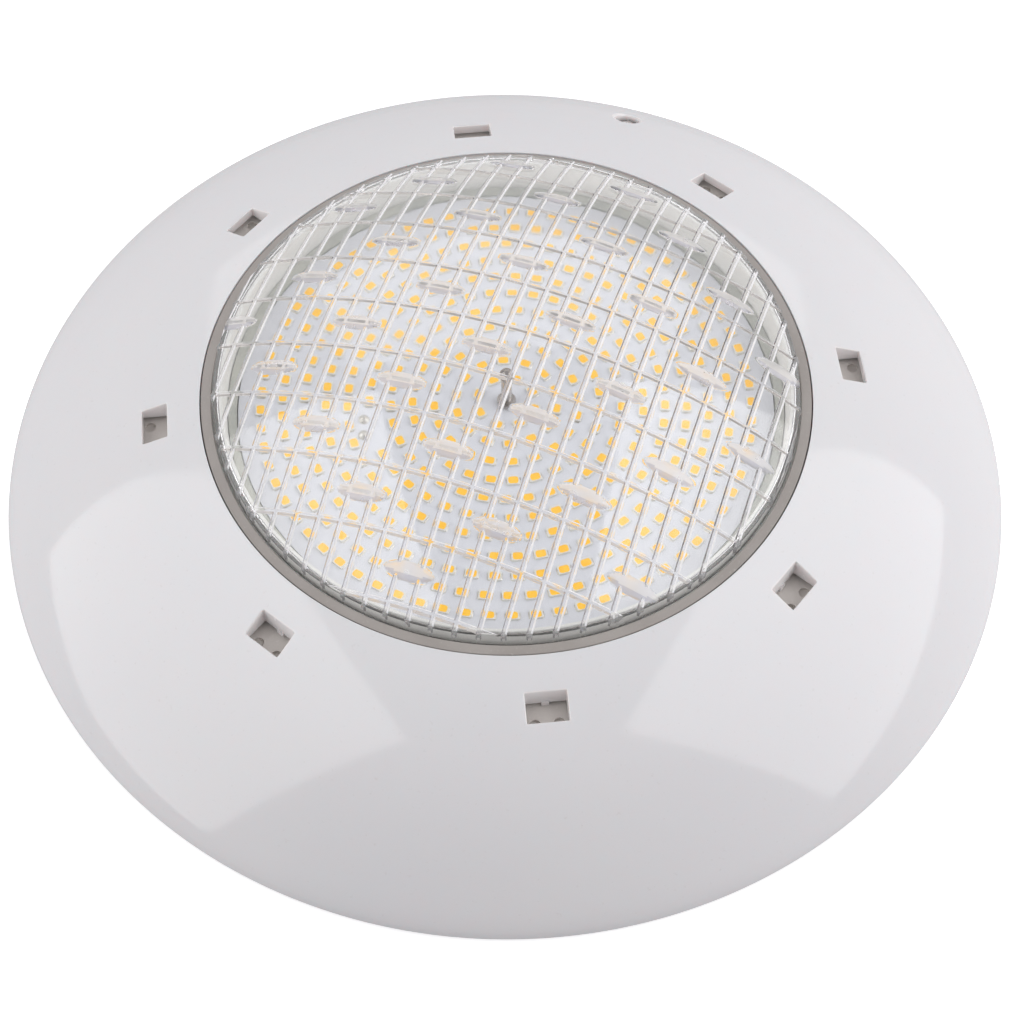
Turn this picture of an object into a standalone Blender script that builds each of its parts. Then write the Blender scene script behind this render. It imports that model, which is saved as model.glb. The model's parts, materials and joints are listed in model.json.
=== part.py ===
"""Wall-mounted underwater pool light: face ring, sealed lamp, wall bracket and lock screw.

Metres, +Z is the beam direction, and the bracket's wall face is at z = 0.
The lock screw lies towards +Y, which is the top of the light on a pool wall.
The bezel tips off the bracket about its lowest edge once the lock screw is backed out.
"""
import math

import bmesh
import bpy
from mathutils import Matrix, Vector

GAP = 0.0003                      # space left between two pieces that touch

# Bezel: a dished ring whose section is one arc from the lens opening to the rim
BEZEL_RADIUS = 0.145
BEZEL_ARC_RADIUS = 0.114
BEZEL_THICKNESS = 0.0025
RIM_HEIGHT = 0.004                # height of the widest line
RIM_BOTTOM = 0.0008
OPENING_RADIUS = 0.0849
OPENING_HEIGHT = 0.0445
LIP_UNDERSIDE = 0.0407
LIP_OUTER_RADIUS = 0.0886

# Water windows through the bezel, each with a collar behind it
WINDOW_COUNT = 8
WINDOW_RADIUS = 0.0978
WINDOW_FIRST_AZIMUTH = 24.5
WINDOW_WIDTH = 0.0110
WINDOW_DEPTH = 0.0072
COLLAR_WALL = 0.0014
COLLAR_BOTTOM = 0.0350

# Stiffening ribs inside the bezel
RIB_FIRST_AZIMUTH = 12.0
RIB_INNER_RADIUS = 0.1045
RIB_OUTER_RADIUS = 0.1385
RIB_WIDTH = 0.0020
RIB_DEPTH = 0.0050

# Lock screw, its recess in the bezel and its boss on the bracket
LOCK_RADIUS = 0.1195
LOCK_RECESS_RADIUS = 0.0037
LOCK_RECESS_FLOOR = 0.0210
LOCK_HOLE_RADIUS = 0.0028
LOCK_BOSS_WIDTH = 0.0120
LOCK_BOSS_BOTTOM = 0.0150
LOCK_HEAD_RADIUS = 0.0033
LOCK_HEAD_HEIGHT = 0.0021
LOCK_SHANK_RADIUS = 0.0024
LOCK_SHANK_TIP = 0.0085
LOCK_WASHER_HEIGHT = 0.0008
LOCK_WASHER_BORE_RADIUS = 0.0026
SLOT_WIDTH = 0.0011
SLOT_DEPTH = 0.0011

# Lens: a spherical dome on a short upright wall with a flange at its foot
LENS_RADIUS = 0.0815
LENS_DOME_BASE = 0.0477
LENS_APEX = 0.0720
LENS_THICKNESS = 0.0020
LENS_FLANGE_RADIUS = 0.0836
LENS_FLANGE_TOP = 0.0426
LENS_FLANGE_BOTTOM = 0.0401

# Ring that holds the lens flange down
LENS_RING_TOP = 0.0442
LENS_RING_INNER_RADIUS = LENS_RADIUS + GAP
LENS_RING_STEP_RADIUS = OPENING_RADIUS - GAP
LENS_RING_STEP_TOP = 0.0403
LAMP_RADIUS = 0.0884              # outer radius of the lamp's clamped flange

# Lamp housing: a cup with a ledge for the LED board
HOUSING_BOTTOM = 0.0055
HOUSING_RADIUS = 0.0810
HOUSING_WALL = 0.0030
HOUSING_CHAMFER = 0.0050
HOUSING_FLANGE_TOP = 0.0380
HOUSING_FLANGE_BOTTOM = 0.0350
HOUSING_COLLAR_RADIUS = 0.0791    # outside of the collar that stands inside the lens's wall
HOUSING_COLLAR_TOP = 0.0463
BOARD_LEDGE_RADIUS = 0.0725
BOARD_LEDGE_TOP = 0.0336
BOARD_LEDGE_DEPTH = 0.0015
BOARD_LEDGE_ROOT = 0.0275         # where the ledge's underside meets the wall
POST_RADIUS = 0.0050
STANDOFF_RADIUS = 0.0035
STANDOFF_HOLE_BOTTOM = 0.0080
GASKET_INNER_RADIUS = 0.0795
GASKET_OUTER_RADIUS = 0.0834

# LED board and what stands on it
BOARD_RADIUS = 0.0748
BOARD_BOTTOM = 0.0339
BOARD_TOP = 0.0355
STUD_RADIUS = 0.00145
STUD_BOTTOM = 0.0265
STUD_FLANGE_RADIUS = 0.0026
STUD_FLANGE_HEIGHT = 0.0012
STUD_HEAD_RADIUS = 0.0021
STUD_TOP = 0.0505
STUD_HOLE_RADIUS = 0.0018
POTTING_TOP = 0.0363

# Driver board and its components
DRIVER_LENGTH = 0.088
DRIVER_WIDTH = 0.044
DRIVER_THICKNESS = 0.0016
DRIVER_BOTTOM = 0.0140
DRIVER_CENTRE_Y = -0.036
DRIVER_SCREW_X = 0.038
DRIVER_SCREW_Y = -0.050
DRIVER_HOLE_RADIUS = 0.0015
DRIVER_SCREW_RADIUS = 0.0012
DRIVER_SCREW_TIP = 0.0087
DRIVER_SCREW_HEAD_RADIUS = 0.0026
DRIVER_SCREW_HEAD_HEIGHT = 0.0017
CAPACITOR_RADIUS = 0.0062
CAPACITOR_HEIGHT = 0.0157
CAPACITOR_PLACES = ((-0.026, -0.030), (-0.010, -0.030))
INDUCTOR_INNER_RADIUS = 0.0034
INDUCTOR_OUTER_RADIUS = 0.0097
INDUCTOR_HEIGHT = 0.0080
INDUCTOR_PLACE = (0.011, -0.031)
BRIDGE_SIZE = (0.0040, 0.0150, 0.0110)
BRIDGE_PLACE = (0.0290, -0.0345)
CHIP_SIZE = (0.0100, 0.0080, 0.0020)
CHIP_PLACE = (0.0, -0.0490)
PIN_RADIUS = 0.0006
PIN_SPACING = 0.0050
PIN_Y = -0.0180

# Ring that clamps the lamp into the bezel from behind
CLAMP_INNER_RADIUS = 0.0814
CLAMP_OUTER_RADIUS = 0.1030
CLAMP_BOTTOM = 0.0312
CLAMP_TOP = 0.0338
CLAMP_STEP_TOP = 0.0347
CLAMP_SCREW_COUNT = 4
CLAMP_SCREW_FIRST_AZIMUTH = 47.0
CLAMP_BOSS_WIDTH = 0.0080
CLAMP_SCREW_RADIUS = 0.0014
CLAMP_SCREW_HEAD_RADIUS = 0.0033
CLAMP_SCREW_HEAD_HEIGHT = 0.0020
CLAMP_SCREW_TOP = 0.0374
CLAMP_PILOT_TOP = 0.0379
CLAMP_PILOT_RADIUS = 0.0018
PIN_MARK_RADIUS = 0.0015
PIN_MARK_DEPTH = 0.0010
PIN_MARK_SPACING = 0.0062
PIN_MARK_OFFSET = 0.0019          # how far the marks lie outside the window's middle

# Cable gland through the housing wall, along -X
GLAND_HEIGHT = 0.0190
GLAND_THREAD_RADIUS = 0.0060
GLAND_BORE_RADIUS = 0.0042
GLAND_HEX_RADIUS = 0.0098
GLAND_BOSS_RADIUS = 0.0112
GLAND_BOSS_FACE = 0.0840          # distance from the lamp axis
GLAND_INNER_END = 0.0705
GLAND_OUTER_END = 0.0930
GLAND_HEX_LENGTH = 0.0040
GLAND_HEX_BORE_RADIUS = 0.0051    # the hexagon's own bore lies inside the tube's wall
GLAND_NUT_SHOULDER = 0.0965
GLAND_NUT_END = 0.1010
GLAND_NUT_LIP = 0.0030
GLAND_NUT_DOME_RADIUS = 0.0078
GLAND_NUT_DOME_START = 0.0940
GLAND_NUT_CHAMFER = 0.0022
GLAND_NUT_MOUTH_RADIUS = 0.0046
GLAND_SEAL_BORE_RADIUS = 0.0040
GLAND_SEAL_RADIUS = 0.0062
LOCKNUT_FACE = 0.0769
LOCKNUT_THICKNESS = 0.0035
LOCKNUT_HEX_RADIUS = 0.0090

# Wall bracket
BRACKET_INNER_RADIUS = 0.104
BRACKET_OUTER_RADIUS = 0.130
BRACKET_THICKNESS = 0.0032
BRACKET_RIM_INNER_RADIUS = 0.1265
BRACKET_RIM_OUTER_RADIUS = 0.1290
BRACKET_RIM_TOP = 0.0090
BRACKET_BOSS_RADIUS = 0.0068
BRACKET_BOSS_TOP = 0.0146
BRACKET_HOLE_RADIUS = 0.0031
BRACKET_HOLE_BOTTOM = 0.0060
FIXING_CIRCLE_RADIUS = 0.1160     # through the middles of the fixing slots
FIXING_SLOT_WIDTH = 0.0055
FIXING_SLOT_LENGTH = 0.0100
TONGUE_WIDTH = 0.0280
TONGUE_END_RADIUS = 0.1375
TONGUE_BOTTOM = 0.0044
TONGUE_TOP = 0.0066
LEDGE_WIDTH = 0.0240
LEDGE_INNER_RADIUS = 0.1362
LEDGE_OUTER_RADIUS = 0.1438
LEDGE_TOP = 0.0026

# Facets round each kind of piece
BEZEL_FACETS = 80
LENS_FACETS = 60
RING_FACETS = 60
HOUSING_FACETS = 48
SMALL_FACETS = 20


# ---------------------------------------------------------------- materials

def material(name, colour, roughness, metallic=0.0, alpha=1.0):
    mat = bpy.data.materials.new(name)
    mat.use_nodes = True
    shader = mat.node_tree.nodes["Principled BSDF"]
    shader.inputs["Base Color"].default_value = (*colour, 1.0)
    shader.inputs["Roughness"].default_value = roughness
    shader.inputs["Metallic"].default_value = metallic
    shader.inputs["Alpha"].default_value = alpha
    mat.diffuse_color = (*colour, alpha)
    return mat


def make_materials():
    return {
        "white_abs": material("white_abs", (0.80, 0.79, 0.80), 0.25),
        "clear_lens": material("clear_lens", (0.92, 0.94, 0.95), 0.05, alpha=0.35),
        "grey_ring": material("grey_ring", (0.40, 0.375, 0.365), 0.5),
        "seal_rubber": material("seal_rubber", (0.12, 0.12, 0.12), 0.7),
        "light_silicone": material("light_silicone", (0.62, 0.61, 0.58), 0.6),
        "grey_abs": material("grey_abs", (0.55, 0.54, 0.51), 0.45),
        "light_abs": material("light_abs", (0.68, 0.67, 0.635), 0.45),
        "resin": material("resin", (0.52, 0.52, 0.47), 0.4),
        "white_board": material("white_board", (0.78, 0.80, 0.83), 0.35),
        "green_board": material("green_board", (0.06, 0.28, 0.14), 0.4),
        "stainless": material("stainless", (0.62, 0.61, 0.60), 0.3, 1.0),
        "black_plastic": material("black_plastic", (0.03, 0.03, 0.03), 0.4),
        "capacitor_sleeve": material("capacitor_sleeve", (0.05, 0.06, 0.10), 0.35),
        "ferrite": material("ferrite", (0.35, 0.16, 0.06), 0.4),
        "tinned_copper": material("tinned_copper", (0.70, 0.68, 0.64), 0.3, 1.0),
        "nylon": material("nylon", (0.78, 0.77, 0.72), 0.5),
    }


# ---------------------------------------------------------------- solids

def azimuth_matrix(degrees):
    return Matrix.Rotation(math.radians(degrees), 4, "Z")


def revolve(bm, profile, facets, matrix=Matrix.Identity(4), phase=0.0):
    """Turn a closed outline of (radius, height) points about Z; radius 0 is a point."""
    rings = []
    for radius, height in profile:
        if radius == 0.0:
            rings.append([bm.verts.new(matrix @ Vector((0.0, 0.0, height)))])
            continue
        ring = []
        for step in range(facets):
            angle = 2.0 * math.pi * (step + phase) / facets
            point = Vector((radius * math.cos(angle), radius * math.sin(angle), height))
            ring.append(bm.verts.new(matrix @ point))
        rings.append(ring)
    for ring, following in zip(rings, rings[1:] + rings[:1]):
        if len(ring) == 1 and len(following) == 1:
            continue
        for step in range(facets):
            after = (step + 1) % facets
            corners = [ring[step % len(ring)], ring[after % len(ring)],
                       following[after % len(following)], following[step % len(following)]]
            unique = list(dict.fromkeys(corners))
            bm.faces.new(unique)


def prism(bm, outline, matrix, start, end):
    """Extrude a closed outline of (x, y) points along the matrix's local Z."""
    low = [bm.verts.new(matrix @ Vector((x, y, start))) for x, y in outline]
    high = [bm.verts.new(matrix @ Vector((x, y, end))) for x, y in outline]
    bm.faces.new(low)
    bm.faces.new(high)
    for corner in range(len(outline)):
        after = (corner + 1) % len(outline)
        bm.faces.new([low[corner], low[after], high[after], high[corner]])


def radial_prism(bm, outline, width, azimuth):
    """Extrude a (radius, height) outline sideways, centred on one azimuth."""
    upright = Matrix.Rotation(math.radians(90.0), 4, "X")
    prism(bm, outline, azimuth_matrix(azimuth) @ upright, -width / 2, width / 2)


def cylinder(bm, radius, bottom, top, x=0.0, y=0.0, facets=SMALL_FACETS):
    outline = [(0.0, bottom), (radius, bottom), (radius, top), (0.0, top)]
    revolve(bm, outline, facets, Matrix.Translation((x, y, 0.0)))


def box(bm, low, high):
    outline = [(low[0], low[1]), (high[0], low[1]), (high[0], high[1]), (low[0], high[1])]
    prism(bm, outline, Matrix.Identity(4), low[2], high[2])


def circle_points(radius, count, phase=0.0):
    points = []
    for step in range(count):
        angle = 2.0 * math.pi * (step + phase) / count
        points.append((radius * math.cos(angle), radius * math.sin(angle)))
    return points


def finish_object(name, bm, mat, origin=(0.0, 0.0, 0.0)):
    """Close off a bmesh as one object whose origin is at the given point."""
    bmesh.ops.recalc_face_normals(bm, faces=bm.faces)
    bmesh.ops.translate(bm, verts=bm.verts, vec=-Vector(origin))
    mesh = bpy.data.meshes.new(name)
    bm.to_mesh(mesh)
    bm.free()
    mesh.shade_smooth()
    mesh.set_sharp_from_angle(angle=math.radians(35.0))
    obj = bpy.data.objects.new(name, mesh)
    obj.location = origin
    bpy.context.collection.objects.link(obj)
    if mat is not None:
        mesh.materials.append(mat)
    return obj


def build(name, mat, draw, origin=(0.0, 0.0, 0.0)):
    bm = bmesh.new()
    draw(bm)
    return finish_object(name, bm, mat, origin)


def combine(target, operation, name, draw):
    """Add or cut a helper shape with a Boolean; the helper itself isn't part of the model."""
    helper = build(name, None, draw)
    helper.hide_render = True
    helper.display_type = "WIRE"
    modifier = target.modifiers.new(name, "BOOLEAN")
    modifier.operation = operation
    modifier.solver = "EXACT"
    modifier.object = helper


# ---------------------------------------------------------------- bezel

def bezel_arc_centre():
    start = Vector((OPENING_RADIUS, OPENING_HEIGHT))
    end = Vector((BEZEL_RADIUS, RIM_HEIGHT))
    chord = end - start
    outward = Vector((-chord.y, chord.x)).normalized()
    drop = math.sqrt(BEZEL_ARC_RADIUS ** 2 - (chord.length / 2) ** 2)
    return (start + end) / 2 - outward * drop


def bezel_height(radius, depth=0.0):
    """Height of the bezel's section at a radius, a given depth under its outer face."""
    centre = bezel_arc_centre()
    reach = BEZEL_ARC_RADIUS - depth
    return centre.y + math.sqrt(reach ** 2 - (radius - centre.x) ** 2)


def bezel_profile(steps=9):
    rim_inside = BEZEL_RADIUS - BEZEL_THICKNESS
    outline = []
    for step in range(steps + 1):
        radius = OPENING_RADIUS + (BEZEL_RADIUS - OPENING_RADIUS) * step / steps
        outline.append((radius, bezel_height(radius)))
    outline += [(BEZEL_RADIUS, RIM_BOTTOM), (rim_inside, RIM_BOTTOM)]
    for step in range(steps + 1):
        radius = rim_inside + (LIP_OUTER_RADIUS - rim_inside) * step / steps
        outline.append((radius, bezel_height(radius, BEZEL_THICKNESS)))
    outline += [(LIP_OUTER_RADIUS - 0.0002, LIP_UNDERSIDE), (OPENING_RADIUS, LIP_UNDERSIDE)]
    return outline


def under_bezel(inner, outer, bottom, steps=2):
    """Outline of a feature that grows down from inside the bezel's wall."""
    outline = [(inner, bottom), (outer, bottom)]
    for step in range(steps + 1):
        radius = outer + (inner - outer) * step / steps
        outline.append((radius, bezel_height(radius, BEZEL_THICKNESS / 2)))
    return outline


def rib_outline(steps=4):
    outline = []
    for step in range(steps + 1):
        radius = RIB_INNER_RADIUS + (RIB_OUTER_RADIUS - RIB_INNER_RADIUS) * step / steps
        outline.append((radius, bezel_height(radius, BEZEL_THICKNESS) - RIB_DEPTH))
    for step in range(steps + 1):
        radius = RIB_OUTER_RADIUS + (RIB_INNER_RADIUS - RIB_OUTER_RADIUS) * step / steps
        outline.append((radius, bezel_height(radius, BEZEL_THICKNESS / 2)))
    return outline


def draw_bezel_additions(bm):
    inner = WINDOW_RADIUS - WINDOW_DEPTH / 2 - COLLAR_WALL
    outer = WINDOW_RADIUS + WINDOW_DEPTH / 2 + COLLAR_WALL
    collar = under_bezel(inner, outer, COLLAR_BOTTOM)
    for index in range(WINDOW_COUNT):
        step = index * 360.0 / WINDOW_COUNT
        radial_prism(bm, collar, WINDOW_WIDTH + 2 * COLLAR_WALL, WINDOW_FIRST_AZIMUTH + step)
        radial_prism(bm, rib_outline(), RIB_WIDTH, RIB_FIRST_AZIMUTH + step)
    half = CLAMP_BOSS_WIDTH / 2
    boss = under_bezel(WINDOW_RADIUS - half, WINDOW_RADIUS + half, CLAMP_TOP + GAP)
    for azimuth in clamp_screw_azimuths():
        radial_prism(bm, boss, CLAMP_BOSS_WIDTH, azimuth)
    half = LOCK_BOSS_WIDTH / 2
    lock = under_bezel(LOCK_RADIUS - half, LOCK_RADIUS + half, LOCK_BOSS_BOTTOM)
    radial_prism(bm, lock, LOCK_BOSS_WIDTH, 90.0)
    ledge = [(LEDGE_INNER_RADIUS, RIM_BOTTOM), (LEDGE_OUTER_RADIUS, RIM_BOTTOM),
             (LEDGE_OUTER_RADIUS, LEDGE_TOP), (LEDGE_INNER_RADIUS, LEDGE_TOP)]
    radial_prism(bm, ledge, LEDGE_WIDTH, -90.0)


def draw_bezel_cuts(bm):
    above = OPENING_HEIGHT + 0.010
    below = COLLAR_BOTTOM - 0.010
    inner = WINDOW_RADIUS - WINDOW_DEPTH / 2
    outer = WINDOW_RADIUS + WINDOW_DEPTH / 2
    window = [(inner, below), (outer, below), (outer, above), (inner, above)]
    for index in range(WINDOW_COUNT):
        azimuth = WINDOW_FIRST_AZIMUTH + index * 360.0 / WINDOW_COUNT
        radial_prism(bm, window, WINDOW_WIDTH, azimuth)
    for azimuth in clamp_screw_azimuths():
        x, y = polar(WINDOW_RADIUS, azimuth)
        cylinder(bm, CLAMP_PILOT_RADIUS, CLAMP_BOTTOM, CLAMP_PILOT_TOP, x, y, 12)
    stepped = [(0.0, 0.0), (LOCK_HOLE_RADIUS, 0.0), (LOCK_HOLE_RADIUS, LOCK_RECESS_FLOOR),
               (LOCK_RECESS_RADIUS, LOCK_RECESS_FLOOR), (LOCK_RECESS_RADIUS, above), (0.0, above)]
    revolve(bm, stepped, SMALL_FACETS, Matrix.Translation((0.0, LOCK_RADIUS, 0.0)))


def make_bezel(mats):
    def draw(bm):
        revolve(bm, bezel_profile(), BEZEL_FACETS)
    bezel = build("bezel", mats["white_abs"], draw, hinge_point())
    combine(bezel, "UNION", "bezel_collars_and_bosses", draw_bezel_additions)
    combine(bezel, "DIFFERENCE", "bezel_windows_and_holes", draw_bezel_cuts)
    return bezel


def hinge_point():
    """The bezel tips about the lowest stretch of its own rim."""
    return (0.0, -BEZEL_RADIUS + 0.0008, RIM_BOTTOM + 0.0002)


def polar(radius, azimuth):
    angle = math.radians(azimuth)
    return radius * math.cos(angle), radius * math.sin(angle)


def clamp_screw_azimuths():
    step = 360.0 / CLAMP_SCREW_COUNT
    return [CLAMP_SCREW_FIRST_AZIMUTH + index * step for index in range(CLAMP_SCREW_COUNT)]


# ---------------------------------------------------------------- lens and its seal

def sphere_radius():
    rise = LENS_APEX - LENS_DOME_BASE
    return (LENS_RADIUS ** 2 + rise ** 2) / (2 * rise)


def dome_height(radius, depth=0.0):
    reach = sphere_radius() - depth
    return LENS_APEX - sphere_radius() + math.sqrt(reach ** 2 - radius ** 2)


def lens_profile(steps=7):
    inner = LENS_RADIUS - LENS_THICKNESS
    outline = [(0.0, LENS_APEX)]
    for step in range(1, steps + 1):
        radius = LENS_RADIUS * math.sin(math.radians(90.0) * step / steps)
        outline.append((radius, dome_height(radius)))
    outline += [(LENS_RADIUS, LENS_FLANGE_TOP), (LENS_FLANGE_RADIUS, LENS_FLANGE_TOP),
                (LENS_FLANGE_RADIUS, LENS_FLANGE_BOTTOM), (inner, LENS_FLANGE_BOTTOM)]
    for step in range(steps - 1, 0, -1):
        radius = inner * math.sin(math.radians(90.0) * (step + 1) / steps)
        outline.append((radius, dome_height(radius, LENS_THICKNESS)))
    outline.append((0.0, LENS_APEX - LENS_THICKNESS))
    return outline


def make_lens(mats):
    def draw(bm):
        revolve(bm, lens_profile(), LENS_FACETS)
    return build("lens", mats["clear_lens"], draw)


def make_lens_ring(mats):
    inside = LENS_FLANGE_RADIUS + GAP
    under = LENS_FLANGE_TOP + GAP
    foot = HOUSING_FLANGE_TOP + GAP
    outline = [(LENS_RING_INNER_RADIUS, under), (LENS_RING_INNER_RADIUS, LENS_RING_TOP),
               (LENS_RING_STEP_RADIUS, LENS_RING_TOP), (LENS_RING_STEP_RADIUS, LENS_RING_STEP_TOP),
               (LAMP_RADIUS, LENS_RING_STEP_TOP), (LAMP_RADIUS, foot), (inside, foot),
               (inside, under)]

    def draw(bm):
        revolve(bm, outline, RING_FACETS)
    return build("lens_ring", mats["grey_ring"], draw)


def make_lens_gasket(mats):
    bottom = HOUSING_FLANGE_TOP + GAP
    top = LENS_FLANGE_BOTTOM - GAP
    bevel = 0.0004
    outline = [(GASKET_INNER_RADIUS, bottom), (GASKET_OUTER_RADIUS, bottom),
               (GASKET_OUTER_RADIUS, top - bevel), (GASKET_OUTER_RADIUS - bevel, top),
               (GASKET_INNER_RADIUS + bevel, top), (GASKET_INNER_RADIUS, top - bevel)]

    def draw(bm):
        revolve(bm, outline, RING_FACETS)
    return build("lens_gasket", mats["light_silicone"], draw)


# ---------------------------------------------------------------- lamp housing

def housing_profile():
    inner = HOUSING_RADIUS - HOUSING_WALL
    floor = HOUSING_BOTTOM + HOUSING_WALL
    return [(0.0, HOUSING_BOTTOM), (HOUSING_RADIUS - HOUSING_CHAMFER, HOUSING_BOTTOM),
            (HOUSING_RADIUS, HOUSING_BOTTOM + HOUSING_CHAMFER),
            (HOUSING_RADIUS, HOUSING_FLANGE_BOTTOM), (LAMP_RADIUS, HOUSING_FLANGE_BOTTOM),
            (LAMP_RADIUS, HOUSING_FLANGE_TOP), (HOUSING_COLLAR_RADIUS, HOUSING_FLANGE_TOP),
            (HOUSING_COLLAR_RADIUS, HOUSING_COLLAR_TOP), (inner, HOUSING_COLLAR_TOP),
            (inner, BOARD_LEDGE_TOP), (BOARD_LEDGE_RADIUS, BOARD_LEDGE_TOP),
            (BOARD_LEDGE_RADIUS, BOARD_LEDGE_TOP - BOARD_LEDGE_DEPTH), (inner, BOARD_LEDGE_ROOT),
            (inner, HOUSING_BOTTOM + HOUSING_CHAMFER),
            (HOUSING_RADIUS - HOUSING_CHAMFER, floor), (POST_RADIUS, floor),
            (POST_RADIUS, BOARD_LEDGE_TOP), (STUD_HOLE_RADIUS, BOARD_LEDGE_TOP),
            (STUD_HOLE_RADIUS, STUD_BOTTOM - GAP), (0.0, STUD_BOTTOM - GAP)]


def gland_matrix():
    """Local Z runs out along the gland's axis, away from the lamp's middle."""
    turn = Matrix.Rotation(math.radians(-90.0), 4, "Y")
    return Matrix.Translation((0.0, 0.0, GLAND_HEIGHT)) @ turn


def make_lamp_housing(mats):
    def draw(bm):
        revolve(bm, housing_profile(), HOUSING_FACETS)
    housing = build("lamp_housing", mats["light_abs"], draw)

    def add(bm):
        start = HOUSING_RADIUS - 0.0015
        prism(bm, circle_points(GLAND_BOSS_RADIUS, 24), gland_matrix(), start, GLAND_BOSS_FACE)
        floor = HOUSING_BOTTOM + HOUSING_WALL / 2
        for side in (-1, 1):
            cylinder(bm, STANDOFF_RADIUS, floor, DRIVER_BOTTOM - GAP,
                     side * DRIVER_SCREW_X, DRIVER_SCREW_Y, 16)
    combine(housing, "UNION", "housing_bosses", add)

    def cut(bm):
        hole = circle_points(GLAND_THREAD_RADIUS + GAP, 24)
        prism(bm, hole, gland_matrix(), GLAND_INNER_END, GLAND_BOSS_FACE + 0.005)
        for side in (-1, 1):
            cylinder(bm, DRIVER_HOLE_RADIUS, STANDOFF_HOLE_BOTTOM, DRIVER_BOTTOM + 0.002,
                     side * DRIVER_SCREW_X, DRIVER_SCREW_Y, 12)
    combine(housing, "DIFFERENCE", "housing_holes", cut)
    return housing


def make_potting_ring(mats):
    inner = BOARD_RADIUS + GAP
    outer = HOUSING_RADIUS - HOUSING_WALL - GAP
    bottom = BOARD_LEDGE_TOP + GAP
    outline = [(inner, bottom), (outer, bottom), (outer, POTTING_TOP),
               ((inner + outer) / 2, BOARD_TOP + 0.0007), (inner, BOARD_TOP + 0.0004)]

    def draw(bm):
        revolve(bm, outline, RING_FACETS)
    return build("potting_ring", mats["resin"], draw)


# ---------------------------------------------------------------- boards

def make_led_board(mats):
    outline = [(STUD_HOLE_RADIUS, BOARD_BOTTOM), (BOARD_RADIUS, BOARD_BOTTOM),
               (BOARD_RADIUS, BOARD_TOP), (STUD_HOLE_RADIUS, BOARD_TOP)]

    def draw(bm):
        revolve(bm, outline, RING_FACETS)
    return build("led_board", mats["white_board"], draw)


def make_centre_stud(mats):
    flange_bottom = BOARD_TOP + GAP
    flange_top = flange_bottom + STUD_FLANGE_HEIGHT
    head_middle = STUD_TOP - STUD_HEAD_RADIUS
    outline = [(0.0, STUD_BOTTOM), (STUD_RADIUS, STUD_BOTTOM), (STUD_RADIUS, flange_bottom),
               (STUD_FLANGE_RADIUS, flange_bottom), (STUD_FLANGE_RADIUS, flange_top),
               (STUD_RADIUS, flange_top)]
    for degrees in (-45, -10, 25, 60):
        angle = math.radians(degrees)
        outline.append((STUD_HEAD_RADIUS * math.cos(angle),
                        head_middle + STUD_HEAD_RADIUS * math.sin(angle)))
    outline.append((0.0, STUD_TOP))

    def draw(bm):
        revolve(bm, outline, 12)
    return build("centre_stud", mats["stainless"], draw)


def make_driver_board(mats):
    top = DRIVER_BOTTOM + DRIVER_THICKNESS

    def draw(bm):
        box(bm, (-DRIVER_LENGTH / 2, DRIVER_CENTRE_Y - DRIVER_WIDTH / 2, DRIVER_BOTTOM),
            (DRIVER_LENGTH / 2, DRIVER_CENTRE_Y + DRIVER_WIDTH / 2, top))
    board = build("driver_board", mats["green_board"], draw)

    def cut(bm):
        for side in (-1, 1):
            cylinder(bm, DRIVER_HOLE_RADIUS, DRIVER_BOTTOM - 0.002, top + 0.002,
                     side * DRIVER_SCREW_X, DRIVER_SCREW_Y, 12)
    combine(board, "DIFFERENCE", "driver_board_holes", cut)
    return board


def make_driver_screws(mats):
    seat = DRIVER_BOTTOM + DRIVER_THICKNESS + GAP
    top = seat + DRIVER_SCREW_HEAD_HEIGHT
    outline = [(0.0, DRIVER_SCREW_TIP), (DRIVER_SCREW_RADIUS, DRIVER_SCREW_TIP),
               (DRIVER_SCREW_RADIUS, seat), (DRIVER_SCREW_HEAD_RADIUS, seat),
               (DRIVER_SCREW_HEAD_RADIUS, (seat + top) / 2),
               (DRIVER_SCREW_HEAD_RADIUS * 0.7, top), (0.0, top)]
    screws = []
    for index, side in enumerate((-1, 1)):
        x, y = side * DRIVER_SCREW_X, DRIVER_SCREW_Y

        def draw(bm):
            revolve(bm, outline, 12, Matrix.Translation((x, y, 0.0)))
        screws.append(build(f"driver_screw_{index + 1}", mats["stainless"], draw))
    return screws


def standing_box(name, mat, place, size, floor):
    low = (place[0] - size[0] / 2, place[1] - size[1] / 2, floor)
    high = (place[0] + size[0] / 2, place[1] + size[1] / 2, floor + size[2])

    def draw(bm):
        box(bm, low, high)
    return build(name, mat, draw)


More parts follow.
